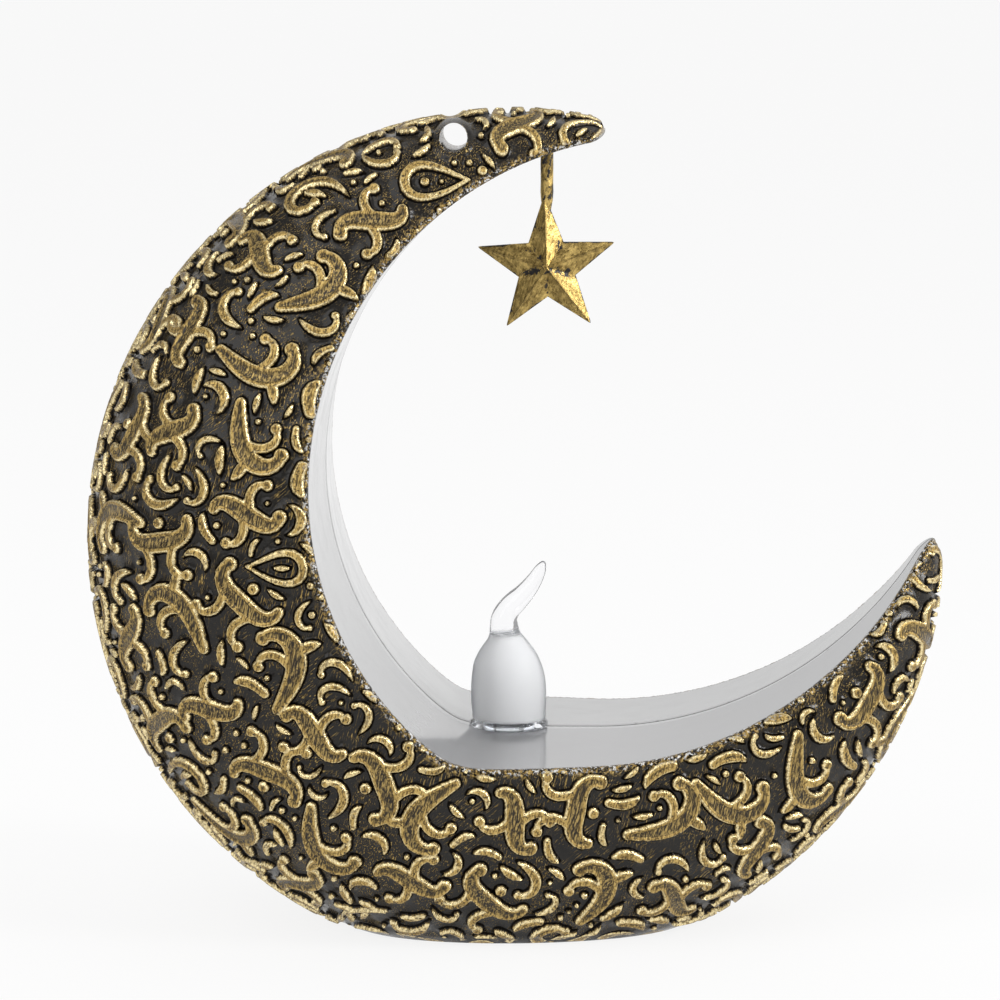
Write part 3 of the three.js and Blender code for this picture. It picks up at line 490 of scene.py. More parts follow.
hole_ring_gap = 1.6
border_gap = 0.7
stroke_share = 0.8
packing_step = 1.2


def pack_ornament(seed):
    """Fits motifs between each other over both halves, the largest first."""
    dice = np.random.default_rng(seed)
    angles, points, normals, ways = outside_net(packing_step)
    size = np.concatenate([np.full(len(line), way[-1]) for line, way in zip(points, ways)])
    mirror = np.array([1, -1, 1])
    points, normals, ways = np.concatenate(points), np.concatenate(normals), np.concatenate(ways)
    points = np.concatenate([points, points * mirror])
    normals = np.concatenate([normals, normals * mirror])
    size = np.tile(size, 2)
    free = np.tile(ways, 2) + 1 - border_gap
    from_hole = np.hypot(points[:, 0] - cord_hole_x, points[:, 2] - cord_hole_height) - cord_hole_radius
    free = np.minimum(free, np.where(np.abs(normals[:, 1]) > 0.2, from_hole - hole_ring_gap + 1.1, 9))
    posts = points[::130]
    crowds = [np.flatnonzero(np.sum((points - post) ** 2, axis=1) < 27 ** 2) for post in posts]
    home = np.argmin(np.sum((points[:, None] - posts) ** 2, axis=2), axis=1)
    big = [s_scroll, great_hook, c_scroll, sprig, palmette, great_hook]
    middle = [drop, beaded_drop, small_hook, paired_hooks, s_scroll, great_hook, rosette]
    small = [small_hook, comma, small_hook, ringed_bead, new_moon, drop, trefoil]
    filling = [comma, small_hook, new_moon, comma, single_leaf]
    # shapes, largest and smallest scale, places, spots and tries for each place, gap kept, room needed
    stages = [
        (big, 0.9, 0.7, 30, 9, 8, 0.9, 2.8),
        (middle, 0.92, 0.55, 150, 8, 8, 0.75, 2.0),
        (small, 0.9, 0.6, 260, 5, 6, 0.7, 1.5),
        (filling, 0.85, 0.45, 460, 3, 6, 0.65, 1.2),
        ([single_leaf, comma, bead], 0.7, 0.45, 300, 2, 4, 0.6, 1.15),
    ]
    laid = []

    def lay(centre, normal, axes, segments):
        reach = np.max(np.abs(segments[0][:, :2])) * 1.2 + 2
        laid.append((centre, normal, axes, segments, reach))
        near, offset = near_points(points, normals, centre, normal, reach + 6)
        away = distance_to(segments, offset @ axes.T)[0]
        free[near] = np.minimum(free[near], away)

    for centre, normal, line, kind in main_scrolls():
        strokes = [line] + branches(line, kind)
        for side in (1, -1):
            flip = np.array([1, side, 1])
            lay(centre * flip, normal * flip, tangents(normal) * flip, segments_of(strokes))
    for shapes, largest, smallest, places, spots, tries, gap, room in stages:
        drawings = [segments_of(shape()) for shape in shapes]
        for place in range(places):
            scale = largest + (smallest - largest) * place / places
            open_spots = np.flatnonzero(free > room)
            if len(open_spots) == 0:
                break
            best = None
            for spot in dice.choice(open_spots, spots):
                crowd = crowds[home[spot]]
                limit = min(12.5 * scale, 0.32 * size[spot] + 1.3)
                here = points[spot], normals[spot]
                near, offset = near_points(points[crowd], normals[crowd], *here, limit + 3)
                near, flat = crowd[near], offset @ tangents(normals[spot]).T
                for attempt in range(tries):
                    starts, ends = drawings[dice.integers(len(drawings))]
                    flip = np.array([scale, scale * dice.choice((-1, 1)), scale * stroke_share])
                    turn = dice.random() * 2 * math.pi
                    cos, sin = math.cos(turn), math.sin(turn)
                    spin = np.array([[cos, sin, 0], [-sin, cos, 0], [0, 0, 1]])
                    segments = (starts * flip @ spin, ends * flip @ spin)
                    if np.max(np.abs(segments[0][:, :2])) > limit:
                        continue
                    away = distance_to(segments, flat)[0]
                    if np.min(away + free[near]) < gap:
                        continue
                    loose = np.mean(free[near][away < gap + 1.5])
                    if best is None or loose < best[0]:
                        best = (loose, spot, segments)
            if best:
                loose, spot, segments = best
                lay(points[spot], normals[spot], tangents(normals[spot]), segments)
    return laid


def ornament_at(laid, points, normals):
    """Distance inside the raised strokes, negative in the ground, and the direction to their edge."""
    inside = np.full(len(points), -4.0)
    outward = np.zeros((len(points), 3))
    for centre, normal, axes, segments, reach in laid:
        near, offset = near_points(points, normals, centre, normal, reach + 1)
        room, away = distance_to(segments, offset @ axes.T)
        nearer = -room > inside[near]
        inside[near[nearer]] = -room[nearer]
        outward[near[nearer]] = (away @ axes)[nearer]
    return inside, outward


def stitch(first, second, ways_first, ways_second):
    """Triangles between two neighbouring lines of points."""
    triangles = []
    i = j = 0
    while i + 1 < len(ways_first) or j + 1 < len(ways_second):
        step_first = j + 1 == len(ways_second)
        if i + 1 < len(ways_first) and not step_first:
            step_first = ways_first[i + 1] <= ways_second[j + 1]
        if step_first:
            triangles.append((first + i, first + i + 1, second + j))
            i += 1
        else:
            triangles.append((first + i, second + j + 1, second + j))
            j += 1
    return triangles


def new_piece(name, points, faces, smooth=True):
    """Mesh object from points in millimetres and the faces as given."""
    mesh = bpy.data.meshes.new(name)
    mesh.from_pydata((np.asarray(points) * mm).tolist(), [], [tuple(map(int, face)) for face in faces])
    mesh.update()
    mesh.shade_smooth() if smooth else mesh.shade_flat()
    piece = bpy.data.objects.new(name, mesh)
    bpy.context.scene.collection.objects.link(piece)
    return piece


def signed_volume(points, triangles):
    a, b, c = (points[triangles[:, k]] for k in range(3))
    return np.einsum("ij,ij->", a, np.cross(b, c)) / 6


shell_wall = 1.6
wall_plate = 1.3
base_plate = 5.0
back_count = 7
relief_step = 0.3
kept_share = 0.62
stroke_foot = -0.04
flank_power = 2.4
groove_start = 0.62
groove_width = 0.45
groove_depth = 0.34
ground_dip = 0.13
dipped_width = 1.3
plain_above_base = 0.8
border_start = 0.9
border_width = 0.8
border_height = 0.1
hole_border = 0.7
ragged_height = 0.18
solid_tip = 0.12
solid_until = math.atan2(cord_hole_height - pole_height, cord_hole_x - 6 - pole_x)


def eased(value, start, width):
    """Smooth step from 0 to 1 over a width."""
    share = np.clip((value - start) / width, 0, 1)
    return share * share * (3 - 2 * share)


def wall_and_plate(inner, outer, depth):
    """Thickness of the round outside's wall and of the inner wall, thinner towards the horns."""
    room = outer - inner
    return min(shell_wall, 0.35 * depth, 0.35 * room), min(wall_plate, 0.3 * room)


def mark(piece, label, numbers):
    """Keeps a number at each point of a piece, for its material to read."""
    kept = piece.data.attributes.new(label, "FLOAT", "POINT")
    kept.data.foreach_set("value", np.asarray(numbers, dtype=np.float32))


def relief_half(name, side, laid):
    """One half shell's ornamented outside, as a closed body behind which the wall plate fits."""
    angles, lines, normals, ways = outside_net(relief_step)
    starts = np.cumsum([0] + [len(line) + back_count for line in lines])
    mirror = np.array([1, side, 1])
    outside = np.concatenate(lines) * mirror
    outward = np.concatenate(normals) * mirror
    way = np.concatenate(ways)
    slender = np.concatenate([
        np.full(len(line), np.clip(min(section(angle)[3], line_ways[-1] / 2) / 7, 0.35, 1))
        for line, line_ways, angle in zip(lines, ways, angles)
    ])
    inside, pull = ornament_at(laid, outside, outward)
    for target in (stroke_foot, relief_flank):
        shift = inside - target
        near = (np.abs(shift) < relief_step * 0.42) & (way > 2) & (np.abs(outside[:, 1]) > 0.5)
        outside[near] += pull[near] * shift[near, None] * 0.85
        inside[near] -= shift[near] * 0.85
    climb = np.clip((inside - stroke_foot) / (relief_flank - stroke_foot), 0, 1)
    height = relief_height * (1 - (1 - climb) ** flank_power) - relief_sunk
    height -= groove_depth * eased(inside, groove_start, groove_width)
    height -= ground_dip * np.clip(-inside, 0, dipped_width)
    height *= eased(outside[:, 2], plain_above_base, 2 * plain_above_base)
    from_hole = np.hypot(outside[:, 0] - cord_hole_x, outside[:, 2] - cord_hole_height)
    from_hole_edge = eased(from_hole - cord_hole_radius, hole_border, hole_border)
    border = np.minimum(eased(way, border_start, border_width), from_hole_edge)
    edge_lip = border_height * np.clip(way / border_start, 0, 1) * (1 - border)
    ragged = np.random.default_rng(5).random(len(way))
    ragged *= np.clip((way - 0.4) / 0.3, 0, 1) * np.clip((2.8 - way) / 0.8, 0, 1)
    height = height * border + edge_lip + ragged_height * ragged
    outside = outside + outward * (height * slender)[:, None]

    points, triangles, value, edge_way = [], [], [], []
    done = 0
    for k, (line, angle) in enumerate(zip(lines, angles)):
        inner, outer, edge, depth = section(angle)
        wall, plate = wall_and_plate(inner, outer, depth)
        hollow = np.clip(min(angle - solid_until, lower_tip - solid_tip - angle) / 0.05, 0, 1)
        turn = np.linspace(math.pi / 2, 0.12, back_count - 1)
        reach = edge + plate + (outer - wall - edge - plate) * np.sin(turn) ** (2 / bulge_power)
        y = np.maximum(hollow * (depth - wall) * np.cos(turn) ** (2 / bulge_power), seam_y)
        reach, y = np.append(reach, edge + plate), np.append(y, depth - wall)
        if math.sin(angle) < 0:
            reach = np.minimum(reach, (pole_height - base_plate) / -math.sin(angle))
        until = done + len(line)
        points += [outside[done:until], placed(angle, reach, y) * mirror]
        value += [inside[done:until], np.full(back_count, -4.0)]
        edge_way += [way[done:until], np.full(back_count, 9.0)]
        done = until
    for k in range(len(lines) - 1):
        a, b = starts[k], starts[k + 1]
        triangles += stitch(a, b, ways[k] / ways[k][-1], ways[k + 1] / ways[k + 1][-1])
        loop_a = [a + len(lines[k]) - 1 + j for j in range(back_count + 1)] + [a]
        loop_b = [b + len(lines[k + 1]) - 1 + j for j in range(back_count + 1)] + [b]
        for j in range(back_count + 1):
            triangles += [(loop_a[j], loop_a[j + 1], loop_b[j]), (loop_a[j + 1], loop_b[j + 1], loop_b[j])]
    for k, turned in ((0, 1), (len(lines) - 1, -1)):
        loop = np.arange(starts[k], starts[k + 1])
        ring = [(loop[0], loop[j + 1], loop[j]) for j in range(1, len(loop) - 1)]
        triangles += [triangle[::turned] for triangle in ring]
    points, triangles = np.concatenate(points), np.array(triangles)
    if signed_volume(points, triangles) < 0:
        triangles = triangles[:, ::-1]
    piece = new_piece(name, points, triangles)
    mark(piece, "ornament", np.concatenate(value))
    mark(piece, "edge_way", np.concatenate(edge_way))
    return piece


def cut_away(piece, *cutters, operation="DIFFERENCE"):
    """Takes closed cutters out of a piece, or joins them to it, and deletes them."""
    for cutter in cutters:
        cut = piece.modifiers.new("cut", "BOOLEAN")
        cut.object = cutter
        cut.operation = operation
        cut.solver = "MANIFOLD"
    graph = bpy.context.evaluated_depsgraph_get()
    mesh = bpy.data.meshes.new_from_object(piece.evaluated_get(graph), depsgraph=graph)
    piece.modifiers.clear()
    old, piece.data = piece.data, mesh
    bpy.data.meshes.remove(old)
    mesh.materials.clear()
    mesh.name = piece.name
    for cutter in cutters:
        bpy.data.objects.remove(cutter)


def prism(name, outline, low, high, along="z"):
    """Closed body of an outline in millimetres, run up along z or back along y."""
    count = len(outline)
    lift = (lambda p, h: (p[0], p[1], h)) if along == "z" else (lambda p, h: (p[0], h, p[1]))
    points = np.array([lift(p, low) for p in outline] + [lift(p, high) for p in outline])
    faces = [(k, (k + 1) % count, count + (k + 1) % count, count + k) for k in range(count)]
    faces += [tuple(range(count))[::-1], tuple(range(count, 2 * count))]
    if along == "y":
        faces = [face[::-1] for face in faces]
    return new_piece(name, points, faces, smooth=False)


def oval(half_length, half_width, sides, x=0, y=0):
    turn = np.linspace(0, 2 * math.pi, sides, endpoint=False)
    return np.stack([x + half_length * np.cos(turn), y + half_width * np.sin(turn)], -1)


# Front and rear half shells. Each is one glossy black moulding with antique gold dry brushed over
# the scrollwork. The two meet on the middle plane, and the base plate is part of both.

cover_half_length = 23.5
cover_half_width = 16.5
cover_top = 2.7
star_x = 4.9
horn_under = left_arc_height + math.sqrt(left_arc_radius ** 2 - (star_x - left_arc_x) ** 2)
stem_hole_radius = 1.35
head_foot = horn_under + 1.7
head_height = 1.3
head_pocket_radius = 2.5
head_gap = 0.3
black_lacquer = (0.007, 0.006, 0.005, 1)
rubbed_lacquer = (0.014, 0.012, 0.0095, 1)
# Colour of the painted shade round the feet of the strokes.
foot_shade_black = (0.006, 0.005, 0.004, 1)
thin_gold = (0.3, 0.19, 0.055, 1)
full_gold = (0.74, 0.53, 0.19, 1)
# Colour of the painted shade on gold that is seen edge on.
gold_edge_on_shade = (0.1, 0.06, 0.02, 1)
# Colour of the painted highlight along the strokes' rims.
rim_highlight_gold = (1, 0.84, 0.48, 1)
bare_plastic = (0.7, 0.7, 0.69, 1)


def node_set(name):
    """New material, its node tree and its surface shader."""
    material = bpy.data.materials.new(name)
    material.use_nodes = True
    return material, material.node_tree, material.node_tree.nodes["Principled BSDF"]


def put(tree, value, socket):
    """Links an output to a socket, or sets a plain number or colour on it."""
    if isinstance(value, bpy.types.NodeSocket):
        tree.links.new(value, socket)
    else:
        socket.default_value = value


def noise(tree, scale, detail=3.0, rough=0.6, longer=(1, 1, 1), lean=(0, 0, 0)):
    """Cloudy noise, its spots made longer along some axes and then leant over."""
    place = tree.nodes.new("ShaderNodeTexCoord")
    mapping = tree.nodes.new("ShaderNodeMapping")
    mapping.vector_type = "TEXTURE"
    mapping.inputs["Scale"].default_value = longer
    mapping.inputs["Rotation"].default_value = lean
    tree.links.new(place.outputs["Object"], mapping.inputs["Vector"])
    grain = tree.nodes.new("ShaderNodeTexNoise")
    grain.inputs["Scale"].default_value = scale
    grain.inputs["Detail"].default_value = detail
    grain.inputs["Roughness"].default_value = rough
    tree.links.new(mapping.outputs["Vector"], grain.inputs["Vector"])
    return grain.outputs["Fac"]


def fade(tree, value, low, high, to_low=0.0, to_high=1.0):
    """Smooth step of a value from low to high."""
    step = tree.nodes.new("ShaderNodeMapRange")
    step.interpolation_type = "SMOOTHSTEP"
    put(tree, value, step.inputs["Value"])
    for label, number in (("From Min", low), ("From Max", high), ("To Min", to_low), ("To Max", to_high)):
        step.inputs[label].default_value = number
    return step.outputs["Result"]


def sums(tree, kind, first, second):
    node = tree.nodes.new("ShaderNodeMath")
    node.operation = kind
    put(tree, first, node.inputs[0])
    put(tree, second, node.inputs[1])
    return node.outputs["Value"]


def blend_colour(tree, share, first, second):
    node = tree.nodes.new("ShaderNodeMix")
    node.data_type = "RGBA"
    put(tree, share, node.inputs["Factor"])
    put(tree, first, node.inputs["A"])
    put(tree, second, node.inputs["B"])
    return node.outputs["Result"]


def relief(tree, height, distance, strength, bsdf):
    bump = tree.nodes.new("ShaderNodeBump")
    bump.inputs["Distance"].default_value = distance
    bump.inputs["Strength"].default_value = strength
    tree.links.new(height, bump.inputs["Height"])
    tree.links.new(bump.outputs["Normal"], bsdf.inputs["Normal"])


def attribute(tree, name):
    node = tree.nodes.new("ShaderNodeAttribute")
    node.attribute_name = name
    return node.outputs["Fac"]


def edge_on(tree):
    """0 where the surface faces the viewer, 1 where it is seen edge on."""
    weight = tree.nodes.new("ShaderNodeLayerWeight")
    weight.inputs["Blend"].default_value = 0.5
    return weight.outputs["Facing"]


def brushed_gold_on_black():
    """Black lacquer, gold on the strokes with a painted highlight on their rims and painted shade round their
    feet, scratched gold between.
    """
    material, tree, bsdf = node_set("black_with_brushed_gold")

    def times(first, second):
        return sums(tree, "MULTIPLY", first, second)

    def most(first, second):
        return sums(tree, "MAXIMUM", first, second)

    def step(value, low, high, to_low=0.0, to_high=1.0):
        return fade(tree, value, low, high, to_low, to_high)

    inside = attribute(tree, "ornament")
    from_edge = attribute(tree, "edge_way")
    grain = noise(tree, 2300, 3, 0.6)
    brush = noise(tree, 4200, 3, 0.6, (1, 1, 7), (0, 0.2, 0))
    cloud = noise(tree, 260, 3, 0.6)
    shaken = sums(tree, "ADD", inside, step(grain, 0.25, 0.75, -0.07, 0.07))
    on_strokes = step(shaken, 0.03, 0.12)
    rim = times(step(inside, 0.08, 0.16), step(inside, 0.44, 0.28))
    turned_away = edge_on(tree)
    middle = times(step(inside, groove_start, 0.95), step(brush, 0.6, 0.46, 0.25, 0.95))
    pits = most(times(step(grain, 0.55, 0.63), step(rim, 0, 1, 0.9, 0.25)), middle)
    strokes_gold = times(on_strokes, sums(tree, "SUBTRACT", 1, pits))
    strokes_gold = times(strokes_gold, step(brush, 0.34, 0.46, 0.45, 1))
    down = noise(tree, 6200, 3, 0.65, (1, 1, 16), (0, 0.24, 0))
    slanted = noise(tree, 6200, 3, 0.65, (1, 1, 16), (0, 0.9, 0))
    patches = noise(tree, 110, 3, 0.55)
    down_gold = times(step(down, 0.56, 0.61), step(patches, 0.47, 0.57, 0, 0.85))
    slanted_gold = times(step(slanted, 0.57, 0.62), step(patches, 0.48, 0.4, 0, 0.85))
    # Painted shade: a dark band round the foot of each stroke, where the ground meets its flank, kept free of
    # scratched gold.
    foot_shade = times(step(inside, -0.3, -0.18), step(inside, 0.06, 0.0))
    ground_gold = times(most(down_gold, slanted_gold), sums(tree, "SUBTRACT", 1, foot_shade))
    worn_edge = step(noise(tree, 1300, 5, 0.8), 0.52, 0.56)
    edge_gold = times(step(from_edge, 1.5, 2.6, 1, 0), worn_edge)
    gold = most(strokes_gold, most(ground_gold, edge_gold))
    lacquer = blend_colour(tree, cloud, black_lacquer, rubbed_lacquer)
    lacquer = blend_colour(tree, foot_shade, lacquer, foot_shade_black)
    shine = most(times(step(brush, 0.4, 0.62), 0.7), step(grain, 0.42, 0.3, 0, 0.6))
    gold_leaf = blend_colour(tree, shine, thin_gold, full_gold)
    # Painted shade: gold seen edge on is darkened towards a deep brown.
    gold_leaf = blend_colour(tree, step(turned_away, 0.45, 0.85, 0, 0.5), gold_leaf, gold_edge_on_shade)
    # Painted highlight: a thin band inside each stroke's edge turns to near white gold, broken by grain and
    # faded where it is seen edge on.
    rim_highlight = times(times(rim, step(grain, 0.6, 0.45, 0.5, 1)), step(turned_away, 0.45, 0.8, 1, 0.2))
    gold_leaf = blend_colour(tree, rim_highlight, gold_leaf, rim_highlight_gold)
    colour = blend_colour(tree, gold, lacquer, gold_leaf)
    chips = step(noise(tree, 1700, 3, 0.7), 0.56, 0.59)
    chips = times(chips, step(from_edge, 1.0, 2.0, 1, 0))
    put(tree, blend_colour(tree, chips, colour, bare_plastic), bsdf.inputs["Base Color"])
    # The painted shade round the strokes' feet is fully metallic, so that its black reflects almost nothing.
    put(tree, most(times(gold, step(rim, 0, 1, 0.75, 0.9)), foot_shade), bsdf.inputs["Metallic"])
    put(tree, most(times(gold, step(rim, 0, 1, 0.34, 0.2)), 0.18), bsdf.inputs["Roughness"])
    bumps = sums(tree, "ADD", times(grain, step(gold, 0, 1, 0.3, 1)), times(brush, gold))
    relief(tree, bumps, 0.00016, 0.5, bsdf)
    bsdf.inputs["Specular IOR Level"].default_value = 0.32
    return material


scrollwork = pack_ornament(seed=11)
black_gold = brushed_gold_on_black()
for name, side, node in (("front_relief", -1, "front_shell"), ("rear_relief", 1, "rear_shell")):
    shell = relief_half(name, side, scrollwork)
    thinned = shell.modifiers.new("thinned", "DECIMATE")
    thinned.ratio = kept_share
    recess = oval(cover_half_length + 0.4, cover_half_width + 0.4, 96)
    cord_hole = oval(cord_hole_radius, cord_hole_radius, 48, cord_hole_x, cord_hole_height)
    head_pocket = oval(head_pocket_radius, head_pocket_radius, 32, star_x)
    cut_away(
        shell,
        prism("below", oval(120, 120, 4), -90, 0),
        prism("recess", recess, -1, cover_top + 0.3),
        prism("opening", oval(cover_half_length - 2, cover_half_width - 2, 96), 0, base_plate + 2),
        prism("cord_hole", cord_hole, -60, 60, along="y"),
        prism("stem_hole", oval(stem_hole_radius, stem_hole_radius, 32, star_x), horn_under - 5, head_foot),
        prism("head_pocket", head_pocket, head_foot - head_gap, head_foot + head_height + head_gap),
    )
    shell.data.set_sharp_from_angle(angle=math.radians(70))
    shell.data.materials.append(black_gold)
    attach(shell, "lantern")
    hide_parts(node)


# Inner walls. Each half shell's flat inside wall and floor is left unsprayed: light grey plastic,
# smooth and glossy, with the parting line of the two halves down its middle, drawn as a thin dark line of
# painted shade.

lamp_x = -1.3
lamp_hole_radius = 5.3
inner_wall_step = 0.9
seam_chamfer = 0.15
deep_grey = (0.26, 0.26, 0.263, 1)
light_grey = (0.3, 0.3, 0.303, 1)
parting_gap_shade = (0.03, 0.03, 0.03, 1)


def ring_loft(name, rings, turned=1):
    """Closed body through rings of equally many points, closed at both ends."""
    count = len(rings[0])
    last = (len(rings) - 1) * count
    faces = []
    for start in range(0, last, count):
        for j in range(count):
            a, b = start + j, start + (j + 1) % count
            faces.append((a, b, b + count, a + count)[::turned])
    faces += [tuple(range(count))[::-turned], tuple(range(last, last + count))[::turned]]
    return new_piece(name, np.concatenate(rings), faces)


def inner_wall_half(name, side):
    """Plate from the seam to the edge of the ornament, following the arcs and the floor."""
    rings = []
    for angle in fan_angles(inner_wall_step):
        inner, outer, edge, depth = section(angle)
        corner = min(edge_rounding, (outer - edge) / 4, depth / 4)
        wall, plate = wall_and_plate(inner, outer, depth)
        chamfer = min(seam_chamfer, depth / 6)
        bend = np.linspace(0, math.pi / 2, 5)
        last = depth - corner
        y = np.append(seam_y + chamfer * (1 - np.cos(bend)), np.linspace(seam_y + chamfer, last, 14)[1:])
        reach = inner + (edge - inner) * y / last
        reach[:5] += chamfer * (1 - np.sin(bend))
        reach = np.append(reach, (edge + plate, inner + plate))
        rings.append(placed(angle, reach, np.append(y, (depth - wall, seam_y))) * np.array([1, side, 1]))
    return ring_loft(name, rings, -side)


def place_in(tree, space="Object"):
    """The three coordinates of the spot that is shaded."""
    place = tree.nodes.new("ShaderNodeTexCoord")
    axes = tree.nodes.new("ShaderNodeSeparateXYZ")
    tree.links.new(place.outputs[space], axes.inputs["Vector"])
    return axes.outputs


def light_grey_gloss():
    material, tree, bsdf = node_set("light_grey_gloss")
    cloud = noise(tree, 38, 3, 0.5)
    plastic = blend_colour(tree, cloud, deep_grey, light_grey)
    # Painted shade: a thin dark line along the parting line stands for the shade in the gap between the
    # halves, and is broken in places.
    from_seam = sums(tree, "ABSOLUTE", place_in(tree)["Y"], 0)
    ticks = fade(tree, noise(tree, 700, 2, 0.5, (1, 6, 1)), 0.63, 0.7, 0, 0.0013)
    from_seam = sums(tree, "SUBTRACT", from_seam, ticks)
    parting = fade(tree, from_seam, 0.00016, 0.0003, 1, 0)
    put(tree, blend_colour(tree, parting, plastic, parting_gap_shade), bsdf.inputs["Base Color"])
    scuffs = noise(tree, 160, 3, 0.6)
    put(tree, fade(tree, scuffs, 0.3, 0.7, 0.1, 0.17), bsdf.inputs["Roughness"])
    relief(tree, noise(tree, 900, 2, 0.5), 0.00002, 0.3, bsdf)
    bsdf.inputs["Coat Weight"].default_value = 0.4
    bsdf.inputs["Coat Roughness"].default_value = 0.08
    return material


grey_gloss = light_grey_gloss()
for name, side, node in (("front_inner_wall", -1, "front_shell"), ("rear_inner_wall", 1, "rear_shell")):
    wall = inner_wall_half(name, side)
    cut_away(
        wall,
        prism("stem_hole", oval(stem_hole_radius, stem_hole_radius, 32, star_x), horn_under - 5, 131),
        prism("lamp_hole", oval(lamp_hole_radius, lamp_hole_radius, 48, lamp_x), 25, 35),
    )
    wall.data.set_sharp_from_angle(angle=math.radians(35))
    wall.data.materials.append(grey_gloss)
    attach(wall, "lantern")
    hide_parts(node)


# Lamp board and LED. A small board with its flicker chip and resistor carries a 5 mm LED on two
# tinned legs, which puts the lens inside the flame cover.

def refinish(material, *names):
    for name in names:
        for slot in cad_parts[name].material_slots:
            slot.material = material


def plain_finish(name, dark, light, rough, metal=0.0, scale=900, bump=0.00002, clear=0.0):
    """Plastic, metal or lacquer with a fine grain in its colour, sheen and surface."""
    material, tree, bsdf = node_set(name)
    grain = noise(tree, scale, 4, 0.6)
    put(tree, blend_colour(tree, grain, (*dark, 1), (*light, 1)), bsdf.inputs["Base Color"])
    put(tree, fade(tree, grain, 0.3, 0.7, rough * 0.85, rough * 1.2), bsdf.inputs["Roughness"])
    bsdf.inputs["Metallic"].default_value = metal
    bsdf.inputs["Transmission Weight"].default_value = clear
    relief(tree, grain, bump, 0.5, bsdf)
    return material


epoxy = plain_finish("clear_epoxy", (0.92, 0.92, 0.9), (0.97, 0.97, 0.95), 0.06, clear=0.9, bump=0.000005)
refinish(epoxy, "led_lens")
tinned = plain_finish("tinned_metal", (0.6, 0.61, 0.62), (0.78, 0.79, 0.8), 0.3, metal=1)
refinish(tinned, "led_anode_lead", "led_cathode_lead", "positive_contact", "negative_contact", "switch_body")
refinish(plain_finish("green_board", (0.02, 0.1, 0.04), (0.035, 0.14, 0.06), 0.35), "lamp_board")
chip_black = plain_finish("chip_black", (0.012, 0.012, 0.012), (0.03, 0.03, 0.03), 0.5)
refinish(chip_black, "flicker_chip", "resistor")


# Flame cover. One clear moulding, hollow where the LED stands: its body is frosted, and the thin
# bent tip is polished clear. It pushes into the floor's hole up to its collar.

flame_spot = np.array([
    [0.03, 1.5, 6.04], [-0.04, 5.1, 6.25], [-0.1, 8.8, 6], [-0.25, 10.9, 5.5], [-0.3, 13, 4.43],
    [-0.4, 14.25, 3.5], [-0.6, 15.3, 2.75], [-0.8, 16.75, 2.37], [-0.8, 18, 2.2], [-0.1, 19.6, 1.98],
    [1.08, 20.9, 1.9], [2.4, 22.2, 1.68], [3.56, 23.6, 1.46], [4.6, 25.2, 1.2], [5.35, 26.7, 0.86],
    [5.7, 27.5, 0.45],
])
plug_and_collar = [
    [0, 1.2, 4.3], [0, -4.2, 4.2], [0, -4.2, 5], [0, 0.1, 5], [0, 0.1, 6.2], [0, 0.22, 6.42],
    [0, 0.5, 6.5], [0, 0.95, 6.46], [0, 1.2, 6.3], [0.05, 1.3, 6.05], [0.08, 1.42, 5.88],
]
cavity_top = [[-0.4, 13.6, 0.15], [-0.4, 13.5, 1.1], [-0.38, 13.1, 1.95]]
cover_wall = 2.7
frosted_top = 15.6
collar_top = 1.35
clear_tint = (0.99, 0.99, 1, 1)
frost_tint = (0.955, 0.972, 1, 1)


def smooth_through(stations, count):
    """Rows spread evenly along a smooth curve through the stations."""
    gone = np.append(0, np.cumsum(np.linalg.norm(np.diff(stations[:, :2], axis=0), axis=1)))
    slope = np.gradient(stations, gone, axis=0)
    at = np.linspace(0, gone[-1], count)
    k = np.clip(np.searchsorted(gone, at, side="right") - 1, 0, len(gone) - 2)
    span = (gone[k + 1] - gone[k])[:, None]
    t = (at - gone[k])[:, None] / span
    rows = (2 * t ** 3 - 3 * t ** 2 + 1) * stations[k] + (t ** 3 - 2 * t ** 2 + t) * span * slope[k]
    return rows + (3 * t ** 2 - 2 * t ** 3) * stations[k + 1] + (t ** 3 - t ** 2) * span * slope[k + 1]


def flame_cover():
    turn = np.linspace(0, 2 * math.pi, 56, endpoint=False)
    rows = smooth_through(flame_spot, 90)
    path = np.gradient(rows[:, :2], axis=0)
    lean = np.arctan2(path[:, 0], path[:, 1]) * np.clip((rows[:, 1] - 13) / 6, 0, 1)

    def ring(offset, height, radius, tilt=0.0):
        across = radius * np.cos(turn)
        x = lamp_x + offset + across * math.cos(tilt)
        return np.stack([x, radius * np.sin(turn), floor_height + height - across * math.sin(tilt)], -1)

    cavity = [row for row in smooth_through(flame_spot[:6], 30)[::-1] if 1.5 < row[1] < 12.6]
    rings = [ring(*row) for row in cavity_top]
    rings += [ring(x, z, max(r - cover_wall, 2.9 if z < 9 else 1.6)) for x, z, r in cavity]
    rings += [ring(*row) for row in plug_and_collar]
    rings += [ring(*row, tilt) for row, tilt in zip(rows, lean)]
    x, z = rows[-1, :2]
    rings += [ring(x + 0.1, z + 0.15, 0.25, lean[-1]), ring(x + 0.14, z + 0.22, 0.08, lean[-1])]
    return ring_loft("flame_cover_clear", rings)


